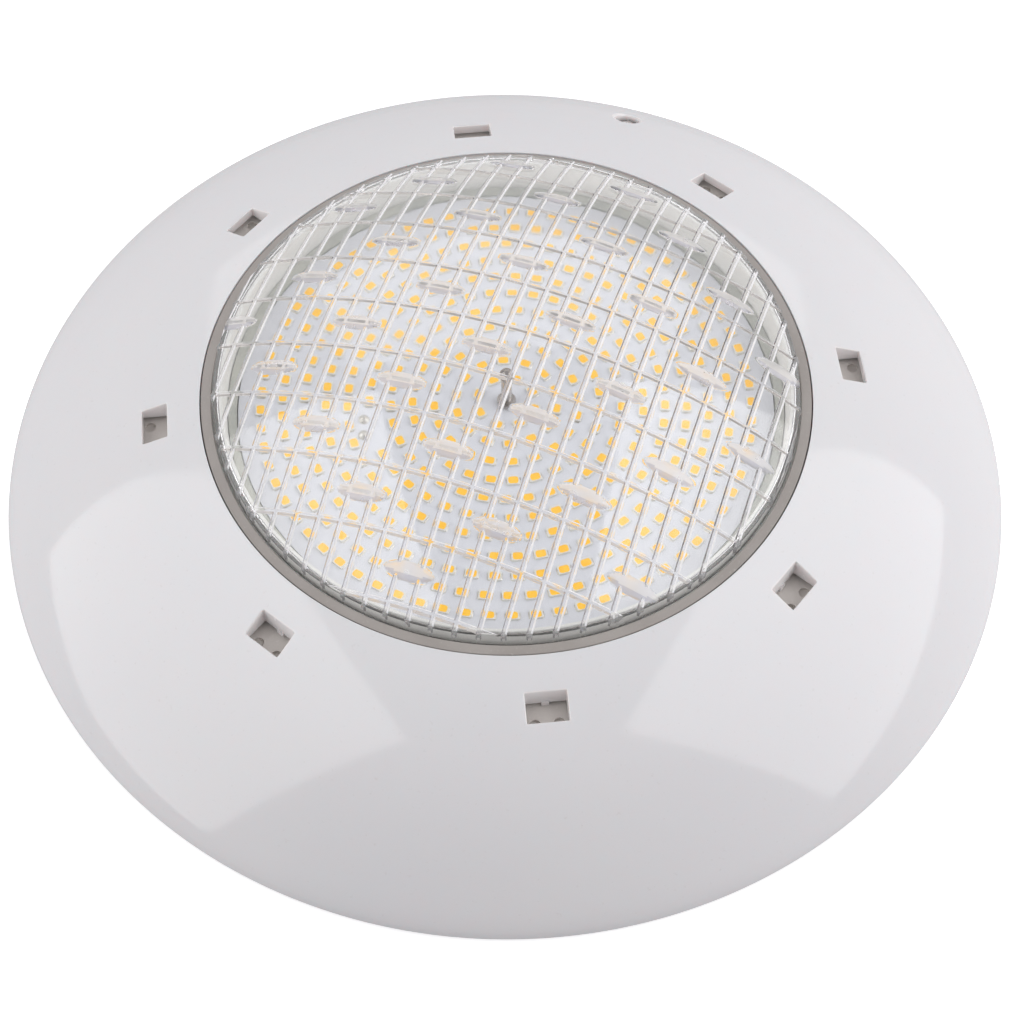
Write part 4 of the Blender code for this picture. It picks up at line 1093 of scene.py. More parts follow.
def lens_grid(limit):
    """Columns of vertices inside a circle; returns points, faces and the circle's loop."""
    bead = [BEAD_HALF_WIDTH * share for share in BEAD_LINES]
    columns = grid_lines(BEAD_PITCH, bead + BEAD_GAP_LINES, limit)
    columns += [side * limit * math.sin(math.radians(degrees))
                for degrees in range(LENS_EDGE_LINES, 91) for side in (-1, 1)]
    columns = sorted(set(columns))
    oval = [CROSS_PITCH / 2 - OVAL_HALF_WIDTH * share for share in OVAL_LINES]
    rows = grid_lines(CROSS_PITCH, bead + CROSS_GAP_LINES + oval, limit)
    x, y, faces, low, high = [], [], [], [], []
    before = None
    for across in columns:
        reach = math.sqrt(max(limit ** 2 - across ** 2, 0.0))
        inside = [row for row in rows if abs(row) < reach - 0.0001]
        marks = [-reach] + inside + [reach] if reach > 0.0002 else [0.0]
        column = list(range(len(x), len(x) + len(marks)))
        x += [across] * len(marks)
        y += marks
        low.append(column[0])
        if len(column) > 1:
            high.append(column[-1])
        if before is not None:
            stitch(faces, before, column, y)
        before = column
    return np.array(x), np.array(y), faces, low + high[::-1]


def lens_skirt():
    """(radius, height, share of bead kept) from the dome's edge down, round and back up inside."""
    wall = LENS_RADIUS - BEAD_RELIEF
    edge = float(dome_height(wall)) - BEAD_RELIEF
    rows = [(wall - inset, edge - drop, share) for inset, drop, share in BEAD_TURN_ROWS]
    rows += [(wall, BEAD_FOOT - drop, share) for drop, share in BEAD_END_ROWS]
    inner = LENS_RADIUS - LENS_THICKNESS
    top, bottom, flange = LENS_FLANGE_TOP, LENS_FLANGE_BOTTOM, LENS_FLANGE_RADIUS
    plain = [(wall, top + EDGE), (wall + EDGE * 0.3, top + EDGE * 0.3), (wall + EDGE, top),
             (flange - EDGE, top), (flange, top - EDGE), (flange, bottom + EDGE),
             (flange - EDGE, bottom), (inner + EDGE, bottom), (inner, bottom + EDGE)]
    for degrees in (0.0, 22.5, 45.0, 67.5, 90.0):
        angle = math.radians(degrees)
        radius = inner - LENS_FILLET * (1.0 - math.cos(angle))
        plain.append((radius, float(dome_height(radius, LENS_THICKNESS))
                      - LENS_FILLET * (1.0 - math.sin(angle))))
    reach = plain[-1][0]
    steps = 24
    for step in range(1, steps):
        radius = reach * (1.0 - step / steps)
        plain.append((radius, float(dome_height(radius, LENS_THICKNESS))))
    return rows + [(radius, height, 0.0) for radius, height in plain]


def frost_and_paint_lens(mesh, limit):
    """Give the beads, their ends on the wall and the ovals their milky finishes, painted shade and
    painted highlights.
    """
    x, y, z = mesh_values(mesh.polygons, "center").T
    upward = mesh_values(mesh.polygons, "normal")[:, 2] > 0.2
    reach = np.hypot(x, y)
    on_dome = upward & (reach < limit)
    on_wall = (reach >= limit) & (z > BEAD_FOOT - BEAD_END_ROWS[-1][0])
    height = bead_height(x, y)
    ends = on_wall & (bead_on_wall(x / reach * limit, y / reach * limit) > FLANK_SHARE)
    share = oval_share(x, y)[0]
    oval = on_dome & (np.abs(share) < 1.0) & (lens_relief(x, y) > BEAD_RELIEF * height + 1e-6)
    beside = off_bead(x, BEAD_PITCH)
    before = off_bead(y, CROSS_PITCH)
    left_side = (beside < 0.0) & (beside > -BEAD_HALF_WIDTH)
    near_side = (before < 0.0) & (np.abs(beside) > BEAD_HALF_WIDTH)
    flank = on_dome & (height > FLANK_SHARE) & (height < TOP_SHARE)
    top = on_dome & (height >= TOP_SHARE)
    # painted shade on left flanks, near flanks of cross beads and lower edges of ovals; painted
    # highlight on the other flanks
    finish = np.select(
        [oval & (share < OVAL_SHADE_SHARE), oval, flank & left_side, flank & near_side, flank,
         top | ends], [OVAL_SHADE, OVAL, SHADE, CROSS_SHADE, FLANK_HIGHLIGHT, TOP], CLEAR)
    mesh.polygons.foreach_set("material_index", finish.astype(np.int32))


def make_lens():
    limit = LENS_RADIUS - BEAD_RELIEF - EDGE
    x, y, faces, loop = lens_grid(limit)
    z = dome_height(np.hypot(x, y)) - BEAD_RELIEF + lens_relief(x, y)
    points = [tuple(point) for point in np.stack([x, y, z], axis=1)]
    kept = bead_on_wall(x[loop], y[loop])
    angle = np.arctan2(y[loop], x[loop])
    count = len(loop)
    before = list(loop)
    for radius, height, share in lens_skirt():
        reach = radius + BEAD_RELIEF * share * kept
        first = len(points)
        points += [tuple(p) for p in np.stack([reach * np.cos(angle), reach * np.sin(angle),
                                               np.full(count, height)], axis=1)]
        ring = list(range(first, first + count))
        faces += [(before[i], ring[i], ring[(i + 1) % count], before[(i + 1) % count])
                  for i in range(count)]
        before = ring
    points.append((0.0, 0.0, float(dome_height(0.0, LENS_THICKNESS))))
    faces += [(before[i], len(points) - 1, before[(i + 1) % count]) for i in range(count)]
    lens = from_lists("ribbed_lens", points, faces, 42.0)
    lens.visible_shadow = False
    lens.visible_diffuse = False
    place(lens, "clear_lens", "lens")
    add_looks(lens, MILKY_AND_PAINTED_LENS)
    frost_and_paint_lens(lens.data, limit)


# ---------------------------------------------------------------- rings under the lens

def make_ring(name, outline, edge=EDGE):
    return build(name, lambda bm: revolve(bm, rounded(outline, edge), RING_FACETS))


def make_lens_ring():
    inside = LENS_FLANGE_RADIUS + GAP
    under = LENS_FLANGE_TOP + GAP
    foot = HOUSING_FLANGE_TOP + GAP
    inner = LENS_RADIUS + GAP
    step = OPENING_RADIUS - GAP
    outline = [(inner, under), (inner, LENS_RING_TOP), (step, LENS_RING_TOP),
               (step, LENS_RING_STEP_TOP), (LAMP_RADIUS, LENS_RING_STEP_TOP),
               (LAMP_RADIUS, foot), (inside, foot), (inside, under)]
    place(make_ring("lens_retaining_ring", outline), "grey_ring", "lens_ring")


def make_lens_gasket():
    outline = box(GASKET_INNER_RADIUS, GASKET_OUTER_RADIUS, HOUSING_FLANGE_TOP + GAP,
                  LENS_FLANGE_BOTTOM - GAP)
    place(make_ring("lens_seal", outline, 0.0005), "light_silicone", "lens_gasket")


def make_potting_ring():
    """Resin that creeps up the housing's wall and sags towards the board."""
    inner = BOARD_RADIUS + GAP
    outer = HOUSING_RADIUS - HOUSING_WALL - GAP
    outline = [(inner, BOARD_LEDGE_TOP + GAP), (outer, BOARD_LEDGE_TOP + GAP)]
    for share in between(0.0, 1.0, 8):
        sag = (1.0 - math.cos(math.pi * share)) / 2
        outline.append((outer + (inner - outer) * share,
                        POTTING_TOP + (BOARD_TOP + POTTING_EDGE - POTTING_TOP) * sag))
    ring = build("potting_fillet", lambda bm: revolve(bm, outline, RING_FACETS))
    place(ring, "resin", "potting_ring")


# ---------------------------------------------------------------- LED board

def make_led_board():
    outline = box(STUD_HOLE_RADIUS, BOARD_RADIUS, BOARD_BOTTOM, BOARD_TOP)
    place(make_ring("led_circuit_board", outline, 0.0001), "white_board", "led_board")


def led_places():
    """(x, y, azimuth) of each LED: rings of even pitch, each long side along its ring."""
    places = []
    for ring in range(LED_RING_COUNT):
        radius = LED_FIRST_RADIUS + ring * LED_RING_STEP
        count = round(2.0 * math.pi * radius / LED_PITCH)
        for azimuth in spaced(LED_RING_TURN * ring, count):
            x, y = polar(radius, azimuth)
            if not near_pads(x, y):
                places.append((x, y, azimuth))
    return places


def near_pads(x, y):
    """True where the supply leads are soldered."""
    return any(math.hypot(x - pad_x, y - pad_y) < PAD_CLEARANCE for pad_x, pad_y in PAD_PLACES)


def repeated(name, template, places, sharp_degrees=30.0):
    """Copy one small closed shape to many places in one mesh."""
    points, faces = template
    turned_points, all_faces = [], []
    for x, y, azimuth in places:
        turn = at(x, y, BOARD_TOP) @ azimuth_matrix(azimuth)
        first = len(turned_points)
        turned_points += [turn @ Vector(point) for point in points]
        all_faces += [tuple(first + corner for corner in face) for face in faces]
    return from_lists(name, turned_points, all_faces, sharp_degrees)


def stacked(layers):
    """Points and faces of a closed stack of (width, length, corner, height) rectangles."""
    points, faces = [], []
    count = 0
    for width, length, corner, height in layers:
        outline = rounded_rectangle(width, length, corner, 2)
        count = len(outline)
        points += [(x, y, height) for x, y in outline]
    for level in range(len(layers) - 1):
        for corner in range(count):
            after = (corner + 1) % count
            low, high = level * count, (level + 1) * count
            faces.append((low + corner, low + after, high + after, high + corner))
    faces.append(tuple(range(count)))
    faces.append(tuple(range(len(points) - count, len(points))))
    return points, faces


# Layers of one LED from its foot up: (growth in width, in length, corner rounding, height)
LED_WELL = LED_HEIGHT - 0.00012
LED_RIM = 0.0002
LED_FRAME_LAYERS = (
    (0.0, 0.0, 0.00015, 0.00004),
    (-0.00006, -0.00006, 0.00015, LED_HEIGHT - 0.00005),
    (-0.00016, -0.00016, 0.00015, LED_HEIGHT),
    (PHOSPHOR_WIDTH + LED_RIM - LED_WIDTH, PHOSPHOR_LENGTH + LED_RIM - LED_LENGTH, 0.0007,
     LED_HEIGHT),
    (PHOSPHOR_WIDTH - LED_WIDTH, PHOSPHOR_LENGTH - LED_LENGTH, 0.0006, LED_WELL))
PHOSPHOR_LAYERS = (
    (-0.00002, -0.00002, 0.0006, LED_WELL + 0.00001),
    (0.00006, 0.00006, 0.0006, LED_WELL + 0.00006),
    (-0.0005, -0.0005, 0.0005, LED_WELL + 0.00010),
    (-0.0012, -0.0012, 0.0003, LED_WELL + 0.00011))
LED_SOLDER_LAYERS = (
    (-0.0006, 0.0007, 0.0002, 0.00001),
    (-0.0006, 0.0006, 0.0002, 0.00006),
    (-0.0008, -0.0001, 0.0002, 0.00022))


def make_leds():
    places = led_places()
    for name, look, width, length, layers, sharp_degrees in (
            ("led_frames", "led_frame", LED_WIDTH, LED_LENGTH, LED_FRAME_LAYERS, 30.0),
            ("led_phosphors", "phosphor", PHOSPHOR_WIDTH, PHOSPHOR_LENGTH, PHOSPHOR_LAYERS, 60.0),
            ("led_solder", "tinned_copper", LED_WIDTH, LED_LENGTH, LED_SOLDER_LAYERS, 30.0)):
        shape = stacked([(width + wider, length + longer, corner, height)
                         for wider, longer, corner, height in layers])
        place(repeated(name, shape, places, sharp_degrees), "white_board", look=look)


def make_solder_pads():
    """Two domed solder joints where the supply leads meet the board."""
    joint = [(0.0, 0.00001), (0.0016, 0.00001), (0.0015, 0.0002), (0.0011, 0.0006),
             (0.0005, 0.0010), (0.0, 0.0011)]

    def draw(bm):
        for x, y in PAD_PLACES:
            revolve(bm, joint, HEAD_FACETS, at(x, y, BOARD_TOP))
    place(build("lead_solder_joints", draw, 50.0), "tinned_copper")


def make_centre_stud():
    flange_bottom = BOARD_TOP + GAP
    flange_top = flange_bottom + STUD_FLANGE_HEIGHT
    head_middle = STUD_TOP - STUD_HEAD_RADIUS
    neck = head_middle - STUD_HEAD_RADIUS * 0.75
    outline = [(0.0, STUD_BOTTOM), (STUD_RADIUS, STUD_BOTTOM), (STUD_RADIUS, flange_bottom),
               (STUD_FLANGE_RADIUS, flange_bottom), (STUD_FLANGE_RADIUS, flange_top),
               (STUD_RADIUS, flange_top)]
    height = flange_top + STUD_LINE_PITCH
    while height < neck - STUD_LINE_PITCH:
        outline += [(STUD_RADIUS, height),
                    (STUD_RADIUS - STUD_LINE_DEPTH, height + STUD_LINE_DEPTH),
                    (STUD_RADIUS, height + 2 * STUD_LINE_DEPTH)]
        height += STUD_LINE_PITCH
    outline.append((STUD_RADIUS, neck))
    outline += arc(0.0, head_middle, STUD_HEAD_RADIUS, range(-45, 90, 9))
    outline.append((0.0, STUD_TOP))
    stud = build("centre_post", lambda bm: revolve(bm, outline, SMALL_FACETS), 35.0)
    place(stud, "stainless", "centre_stud", look="post_steel")


# ---------------------------------------------------------------- lamp housing and clamp

def housing_profile():
    inner = HOUSING_RADIUS - HOUSING_WALL
    floor = HOUSING_BOTTOM + HOUSING_WALL
    outline = [(0.0, HOUSING_BOTTOM), (HOUSING_RADIUS - HOUSING_CHAMFER, HOUSING_BOTTOM),
               (HOUSING_RADIUS, HOUSING_BOTTOM + HOUSING_CHAMFER),
               (HOUSING_RADIUS, HOUSING_FLANGE_BOTTOM), (LAMP_RADIUS, HOUSING_FLANGE_BOTTOM),
               (LAMP_RADIUS, HOUSING_FLANGE_TOP), (HOUSING_COLLAR_RADIUS, HOUSING_FLANGE_TOP),
               (HOUSING_COLLAR_RADIUS, HOUSING_COLLAR_TOP), (inner, HOUSING_COLLAR_TOP),
               (inner, BOARD_LEDGE_TOP), (BOARD_LEDGE_RADIUS, BOARD_LEDGE_TOP),
               (BOARD_LEDGE_RADIUS, BOARD_LEDGE_TOP - BOARD_LEDGE_DEPTH),
               (inner, BOARD_LEDGE_ROOT), (inner, HOUSING_BOTTOM + HOUSING_CHAMFER),
               (HOUSING_RADIUS - HOUSING_CHAMFER, floor), (0.0, floor)]
    return rounded(outline, 0.0005)


def along_gland():
    """Local Z runs out along the gland's axis, away from the lamp's middle."""
    return at(0.0, 0.0, GLAND_HEIGHT) @ Matrix.Rotation(math.radians(-90.0), 4, "Y")


def make_housing():
    housing = build("lamp_cup", lambda bm: revolve(bm, housing_profile(), RING_FACETS))

    def add(bm):
        boss = circle_points(GLAND_BOSS_RADIUS, GLAND_FACETS)
        prism(bm, boss, along_gland(), HOUSING_RADIUS - 0.0015, GLAND_BOSS_FACE)
        top = HOUSING_BOTTOM + 0.0010
        foot = HOUSING_BOTTOM - FIN_DEPTH
        edge = foot + FIN_CHAMFER_HEIGHT
        inner, outer = FIN_INNER_RADIUS, FIN_OUTER_RADIUS
        fin = [(inner, edge), (inner + FIN_CHAMFER, foot), (outer - FIN_CHAMFER, foot),
               (outer, edge), (outer, top), (inner, top)]
        radial_prisms(bm, fin, FIN_WIDTH, spaced(FIN_FIRST_AZIMUTH, FIN_COUNT))
    combine(housing, "UNION", add)

    def cut(bm):
        hole = circle_points(GLAND_THREAD_RADIUS + GAP, GLAND_FACETS)
        prism(bm, hole, along_gland(), GLAND_INNER_END, GLAND_BOSS_FACE + 0.005)
    combine(housing, "DIFFERENCE", cut)
    place(housing, "light_abs", "lamp_housing")


def make_clamp_ring():
    outline = [(CLAMP_INNER_RADIUS, CLAMP_BOTTOM), (CLAMP_OUTER_RADIUS, CLAMP_BOTTOM),
               (CLAMP_OUTER_RADIUS, CLAMP_TOP), (LAMP_RADIUS, CLAMP_TOP),
               (LAMP_RADIUS, CLAMP_STEP_TOP), (CLAMP_INNER_RADIUS, CLAMP_STEP_TOP)]
    ring = make_ring("lamp_clamp", outline)

    def cut(bm):
        for azimuth in clamp_screw_azimuths():
            x, y = polar(WINDOW_RADIUS, azimuth)
            cylinder(bm, CLAMP_PILOT_RADIUS, CLAMP_BOTTOM - OVERCUT, CLAMP_TOP + OVERCUT,
                     x, y, PILOT_FACETS)
        half = math.degrees(PIN_MARK_SPACING / 2 / WINDOW_RADIUS)
        for middle in window_azimuths():
            for side in (-1, 1):
                x, y = polar(WINDOW_RADIUS + PIN_MARK_OFFSET, middle + side * half)
                cylinder(bm, PIN_MARK_RADIUS, CLAMP_TOP - PIN_MARK_DEPTH, CLAMP_TOP + OVERCUT,
                         x, y, HEAD_FACETS)
    combine(ring, "DIFFERENCE", cut)
    place(ring, "grey_abs", "lamp_clamp_ring")


def cross_recess(bm, x, y, low, high, reach, width):
    """A cross-shaped driver recess in a screw head."""
    for turn in (0.0, 90.0):
        prism(bm, rounded_rectangle(2 * reach, width, width * 0.2),
              at(x, y) @ azimuth_matrix(turn), low, high)


def make_clamp_screws():
    head = CLAMP_SCREW_HEAD_RADIUS
    head_top = CLAMP_BOTTOM - GAP
    head_bottom = head_top - CLAMP_SCREW_HEAD_HEIGHT
    outline = [(0.0, head_bottom), (head * 0.6, head_bottom), (head * 0.88, head_bottom + 0.0004),
               (head, head_bottom + 0.0011), (head, head_top), (CLAMP_SCREW_RADIUS, head_top),
               (CLAMP_SCREW_RADIUS, CLAMP_SCREW_TOP), (0.0, CLAMP_SCREW_TOP)]
    for index, azimuth in enumerate(clamp_screw_azimuths()):
        x, y = polar(WINDOW_RADIUS, azimuth)
        screw = build(f"clamp_ring_screw_{index + 1}",
                      lambda bm: revolve(bm, outline, HEAD_FACETS, at(x, y)), 35.0)
        combine(screw, "DIFFERENCE",
                lambda bm: cross_recess(bm, x, y, head_bottom - OVERCUT / 2,
                                        head_bottom + 0.0012, head * 0.5, 0.0007))
        place(screw, "stainless", f"clamp_screw_{index + 1}")


# ---------------------------------------------------------------- cable gland

GLAND_HEX_START = GLAND_BOSS_FACE + GAP
GLAND_HEX_END = GLAND_HEX_START + GLAND_HEX_LENGTH


def turned(outline):
    """A drawing of an outline that is turned about the gland's axis."""
    return lambda bm: revolve(bm, outline, GLAND_FACETS, along_gland())


def hexagon(start, end, bevel):
    return lambda bm: soft_prism(bm, circle_points(GLAND_HEX_RADIUS, 6), along_gland(), start,
                                 end, bevel)


def make_gland_body():
    core = box(GLAND_BORE_RADIUS - WALL_OVERLAP, GLAND_THREAD_RADIUS, GLAND_INNER_END,
               GLAND_OUTER_END)
    body = build("gland_stem", turned(rounded(core, EDGE)))
    combine(body, "UNION", hexagon(GLAND_HEX_START, GLAND_HEX_END, 0.0005))

    def bore(bm):
        prism(bm, circle_points(GLAND_BORE_RADIUS, GLAND_FACETS), along_gland(),
              GLAND_INNER_END - OVERCUT, GLAND_OUTER_END + OVERCUT)
    combine(body, "DIFFERENCE", bore)
    weld(body.data)
    place(body, "nylon", "gland_body")


def make_gland_nut():
    nut = build("gland_cap_nut", hexagon(GLAND_HEX_END + GAP, GLAND_NUT_SHOULDER, 0.0006))
    start = GLAND_HEX_END + 0.001
    rounding = GLAND_NUT_ROUNDING
    dome = [(0.0, start), (GLAND_NUT_DOME_RADIUS, start)]
    dome += arc(GLAND_NUT_DOME_RADIUS - rounding, GLAND_NUT_END - rounding, rounding,
                range(0, 91, 15))
    combine(nut, "UNION", turned(dome + [(0.0, GLAND_NUT_END)]))
    inside = GLAND_SEAL_RADIUS + GAP
    lip = GLAND_NUT_END - GLAND_NUT_LIP
    beyond = GLAND_NUT_END + OVERCUT * 1.5
    mouth = GLAND_NUT_MOUTH_RADIUS
    combine(nut, "DIFFERENCE", turned([
        (0.0, GLAND_HEX_START), (inside, GLAND_HEX_START), (inside, lip), (mouth, lip),
        (mouth, GLAND_NUT_END - EDGE * 2), (mouth + EDGE * 2, GLAND_NUT_END),
        (mouth + EDGE * 2, beyond), (0.0, beyond)]))
    weld(nut.data)
    place(nut, "nylon", "gland_nut")


def make_gland_seal():
    outline = box(GLAND_BORE_RADIUS - WALL_OVERLAP, GLAND_SEAL_RADIUS, GLAND_OUTER_END + GAP,
                  GLAND_NUT_END - GLAND_NUT_LIP - GAP)
    place(build("gland_grommet", turned(rounded(outline, 0.0006))), "seal_rubber", "gland_seal")


# ---------------------------------------------------------------- wall bracket and lock

def make_wall_bracket():
    outline = [(BRACKET_INNER_RADIUS, 0.0), (BRACKET_OUTER_RADIUS, 0.0),
               (BRACKET_OUTER_RADIUS, BRACKET_THICKNESS),
               (BRACKET_RIM_OUTER_RADIUS, BRACKET_THICKNESS),
               (BRACKET_RIM_OUTER_RADIUS, BRACKET_RIM_TOP),
               (BRACKET_RIM_INNER_RADIUS, BRACKET_RIM_TOP),
               (BRACKET_RIM_INNER_RADIUS, BRACKET_THICKNESS),
               (BRACKET_INNER_RADIUS, BRACKET_THICKNESS)]
    bracket = make_ring("wall_mounting_bracket", outline)

    def add(bm):
        cylinder(bm, BRACKET_BOSS_RADIUS, BRACKET_THICKNESS / 2, BRACKET_BOSS_TOP,
                 0.0, LOCK_RADIUS, RECESS_FACETS)
        root = BRACKET_RIM_INNER_RADIUS + BRACKET_OVERLAP
        end = TONGUE_END_RADIUS
        tongue = [(root, TONGUE_BOTTOM), (end - EDGE, TONGUE_BOTTOM), (end, TONGUE_BOTTOM + EDGE),
                  (end, TONGUE_TOP - EDGE), (end - EDGE, TONGUE_TOP), (root, TONGUE_TOP)]
        radial_prisms(bm, tongue, TONGUE_WIDTH, [-90.0])
        gusset = [(BRACKET_INNER_RADIUS + 0.002, BRACKET_THICKNESS / 2),
                  (root, BRACKET_THICKNESS / 2), (root, BRACKET_RIM_TOP - 0.002)]
        radial_prisms(bm, gusset, GUSSET_WIDTH, spaced(GUSSET_FIRST_AZIMUTH, GUSSET_COUNT))
    combine(bracket, "UNION", add)

    def cut(bm):
        cylinder(bm, BRACKET_HOLE_RADIUS, BRACKET_HOLE_BOTTOM, BRACKET_BOSS_TOP + BRACKET_OVERCUT,
                 0.0, LOCK_RADIUS, LOCK_FACETS)
        for azimuth in spaced(45.0, 4):
            matrix = at(*polar(FIXING_CIRCLE_RADIUS, azimuth)) @ azimuth_matrix(azimuth)
            prism(bm, slot_outline(FIXING_SLOT_WIDTH, FIXING_SLOT_LENGTH), matrix,
                  -BRACKET_OVERCUT, BRACKET_THICKNESS + BRACKET_OVERCUT)
    combine(bracket, "DIFFERENCE", cut)
    place(bracket, "white_abs", "wall_bracket", body="wall_bracket", look="bracket_abs")


def make_lock_washer():
    bottom = LOCK_RECESS_FLOOR + GAP
    outline = box(LOCK_SHANK_RADIUS + LOCK_WASHER_PLAY, LOCK_HEAD_RADIUS, bottom,
                  bottom + LOCK_WASHER_HEIGHT)
    matrix = at(0.0, LOCK_RADIUS)
    washer = build("lock_screw_washer",
                   lambda bm: revolve(bm, rounded(outline, 0.0002), LOCK_FACETS, matrix))
    place(washer, "nylon", "lock_washer", body="lock_washer")


def lock_screw_profile(head):
    """A shank that is ready for its thread, under a low domed head."""
    top = head + LOCK_HEAD_HEIGHT
    tip = LOCK_SHANK_TIP
    shank, rim = LOCK_SHANK_RADIUS, LOCK_HEAD_RADIUS
    layers = round((THREAD_TOP - THREAD_BOTTOM) / THREAD_PITCH * THREAD_LAYERS)
    step = (THREAD_TOP - THREAD_BOTTOM) / layers
    return ([(0.0, tip), (shank * 0.55, tip), (shank * 0.85, tip + 0.0010)]
            + [(shank, THREAD_BOTTOM + index * step) for index in range(layers + 1)]
            + [(shank, head), (rim - 0.0001, head), (rim, head + 0.0001), (rim, top - 0.0010),
               (rim * 0.93, top - 0.0005), (rim * 0.75, top - 0.0001), (rim * 0.5, top),
               (0.0, top)])


def cut_thread(bm):
    """Press the shank in between the crests of a right-hand thread."""
    for vert in bm.verts:
        x, y, height = vert.co.x, vert.co.y - LOCK_RADIUS, vert.co.z
        if not THREAD_BOTTOM <= height <= THREAD_TOP:
            continue
        turn = (height / THREAD_PITCH - math.atan2(y, x) / (2.0 * math.pi)) % 1.0
        groove = min(1.0, abs(2.0 * turn - 1.0) / THREAD_CREST_SHARE)
        fade = min(1.0, (height - THREAD_BOTTOM) / THREAD_RUN_OUT,
                   (THREAD_TOP - height) / THREAD_RUN_OUT)
        share = 1.0 - THREAD_DEPTH / LOCK_SHANK_RADIUS * groove * fade
        vert.co.x = x * share
        vert.co.y = LOCK_RADIUS + y * share


def make_lock_screw():
    head = LOCK_RECESS_FLOOR + LOCK_WASHER_HEIGHT + 2 * GAP
    top = head + LOCK_HEAD_HEIGHT
    matrix = at(0.0, LOCK_RADIUS)

    def draw(bm):
        revolve(bm, lock_screw_profile(head), LOCK_FACETS, matrix)
        cut_thread(bm)
    screw = build("lock_machine_screw", draw, 40.0)

    def cut(bm):
        slot = rounded_rectangle(2 * LOCK_HEAD_RADIUS + OVERCUT, LOCK_SLOT_WIDTH, 0.0002)
        prism(bm, slot, matrix, top - LOCK_SLOT_DEPTH, top + OVERCUT / 2)
    combine(screw, "DIFFERENCE", cut, 40.0)
    place(screw, "stainless", "lock_screw", body="lock_screw")


# ---------------------------------------------------------------- pieces kept from the CAD

def finish_kept_nodes():
    """The driver inside the sealed cup keeps its CAD shapes and gets worked materials."""
    slots = {entry["node"]: entry["material_slot"] for entry in frame["record"]["subparts"]}
    for name, node in frame["nodes"].items():
        if node.hide_render:
            continue
        node.data.materials.clear()
        add_looks(node, [slots[name]])


# ---------------------------------------------------------------- stage, lights and camera

def direction(azimuth, elevation):
    a, e = math.radians(azimuth), math.radians(elevation)
    return Vector((math.sin(a) * math.cos(e), -math.cos(a) * math.cos(e), math.sin(e)))


def make_floor():
    bm = bmesh.new()
    bmesh.ops.create_grid(bm, x_segments=1, y_segments=1, size=FLOOR_REACH)
    floor = finish_object("floor", bm)
    floor.location.z = -FLOOR_DROP
    surface = Surface("floor", (0.90, 0.90, 0.90), 0.6)
    surface.tint(surface.noise(3.0), (0.88, 0.88, 0.88))
    surface.shader.inputs["Emission Color"].default_value = (1.0, 1.0, 1.0, 1.0)
    surface.shader.inputs["Emission Strength"].default_value = FLOOR_GLOW
    floor.data.materials.append(surface.mat)
    floor.visible_diffuse = False
    floor.visible_glossy = False


def make_softbox(name, azimuth, elevation, distance, size, radiance):
    light = bpy.data.lights.new(name, "AREA")
    light.shape = "RECTANGLE"
    light.size, light.size_y = size
    light.energy = radiance * math.pi * size[0] * size[1]
    obj = add_to_scene(name, light)
    back = direction(azimuth, elevation)
    obj.location = back * distance
    obj.rotation_euler = back.to_track_quat("Z", "Y").to_euler()


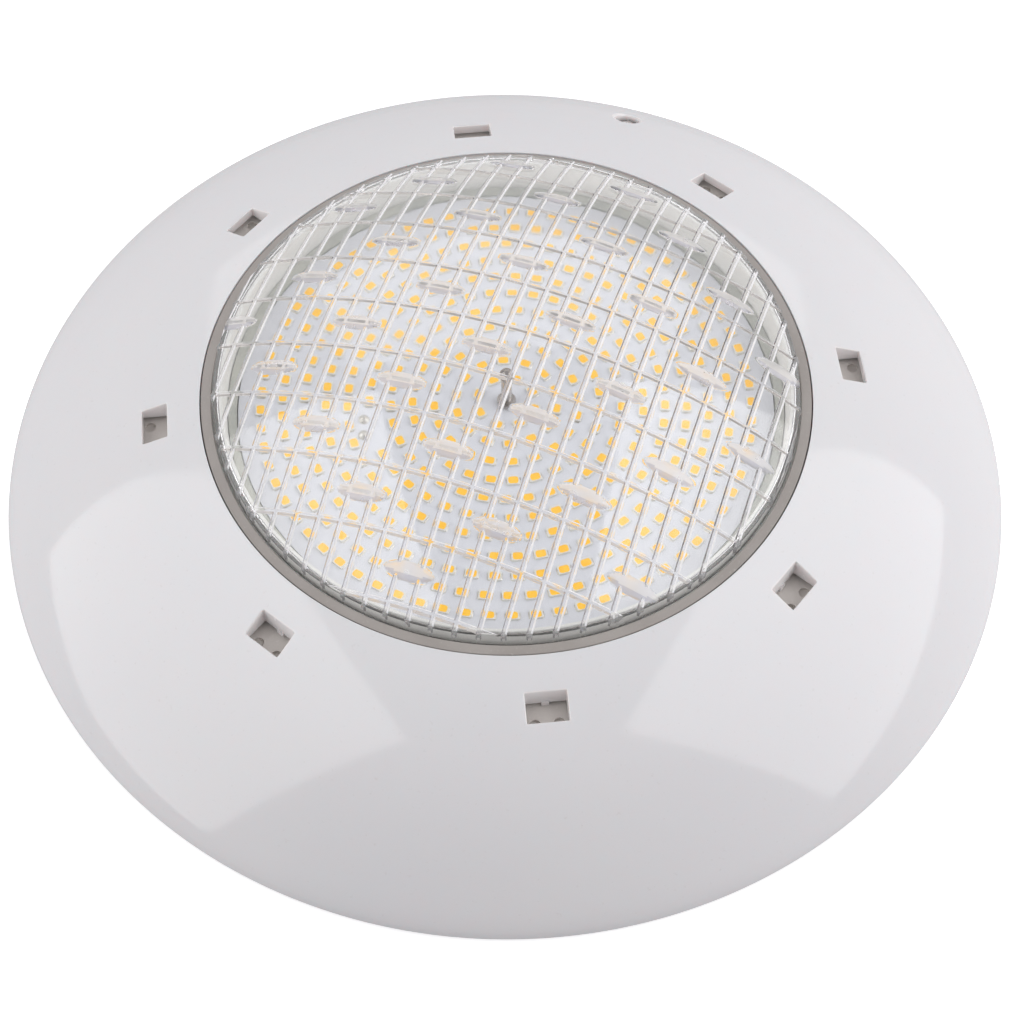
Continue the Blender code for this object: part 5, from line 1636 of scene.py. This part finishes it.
def make_world():
    """A plain room: dimmer on the camera's side, brighter to its right and near the table."""
    world = bpy.data.worlds.new("room")
    bpy.context.scene.world = world
    world.use_nodes = True
    tree = world.node_tree
    background = tree.nodes["Background"]
    background.inputs["Color"].default_value = ROOM_COLOUR
    around = add_node(tree, "ShaderNodeTexCoord", {}).outputs["Generated"]

    def math_node(operation, first, second):
        node = add_node(tree, "ShaderNodeMath", {0: first, 1: second}, operation=operation)
        return node.outputs["Value"]

    def facing(azimuth, strength):
        """Light that grows towards one side of the room."""
        dot = add_node(tree, "ShaderNodeVectorMath", {0: around, 1: direction(azimuth, 0.0)},
                       operation="DOT_PRODUCT")
        return math_node("MULTIPLY", math_node("MAXIMUM", dot.outputs["Value"], 0.0), strength)

    split = add_node(tree, "ShaderNodeSeparateXYZ", {"Vector": around})
    height = add_node(tree, "ShaderNodeMapRange",
                      {"Value": split.outputs["Z"], "From Min": -1.0})
    ramp = add_node(tree, "ShaderNodeValToRGB", {"Fac": height.outputs["Result"]})
    stops = ramp.color_ramp.elements
    for elevation, level in ROOM_LEVELS:
        position = (1.0 + math.sin(math.radians(elevation))) / 2
        if elevation == ROOM_LEVELS[0][0]:
            stop = stops[0]
        elif elevation == ROOM_LEVELS[-1][0]:
            stop = stops[-1]
        else:
            stop = stops.new(position)
        stop.position = position
        stop.color = (level, level, level, 1.0)
    near = facing(CAMERA_AZIMUTH, ROOM_NEAR_LOSS)
    right = facing(CAMERA_AZIMUTH + 90.0, ROOM_RIGHT_GAIN)
    total = math_node("SUBTRACT", math_node("ADD", ramp.outputs["Color"], right), near)
    tree.links.new(math_node("MAXIMUM", total, 0.0), background.inputs["Strength"])


def make_lights():
    make_world()
    for name, turn, *shape in SOFTBOXES:
        make_softbox(name, CAMERA_AZIMUTH + turn, *shape)
    bpy.context.scene.view_settings.view_transform = "Standard"


def make_camera():
    turn = azimuth_matrix(CAMERA_AZIMUTH)
    position = turn @ Vector((0.0, -CAMERA_REACH, CAMERA_HEIGHT))
    aim = turn @ Vector((AIM_SIDEWAYS, -AIM_NEARER, AIM_HEIGHT))
    camera = bpy.data.cameras.new("camera")
    camera.lens = CAMERA_LENS_MM
    camera.sensor_width = 36.0
    camera.clip_start = 0.01
    obj = add_to_scene("camera", camera)
    back = (position - aim).normalized()
    right = Vector((0.0, 0.0, 1.0)).cross(back).normalized()
    up = back.cross(right)
    frame_axes = Matrix((right, up, back)).transposed().to_4x4()
    roll = Matrix.Rotation(math.radians(CAMERA_ROLL), 4, "Z")
    obj.matrix_world = Matrix.Translation(position) @ frame_axes @ roll
    bpy.context.scene.camera = obj


# ---------------------------------------------------------------- assembly


for make in (make_bezel, make_lens, make_lens_ring, make_lens_gasket, make_potting_ring,
             make_led_board, make_leds, make_solder_pads, make_centre_stud, make_housing,
             make_clamp_ring, make_clamp_screws, make_gland_body, make_gland_nut,
             make_gland_seal, make_wall_bracket, make_lock_washer, make_lock_screw,
             finish_kept_nodes, make_floor, make_lights, make_camera):
    make()
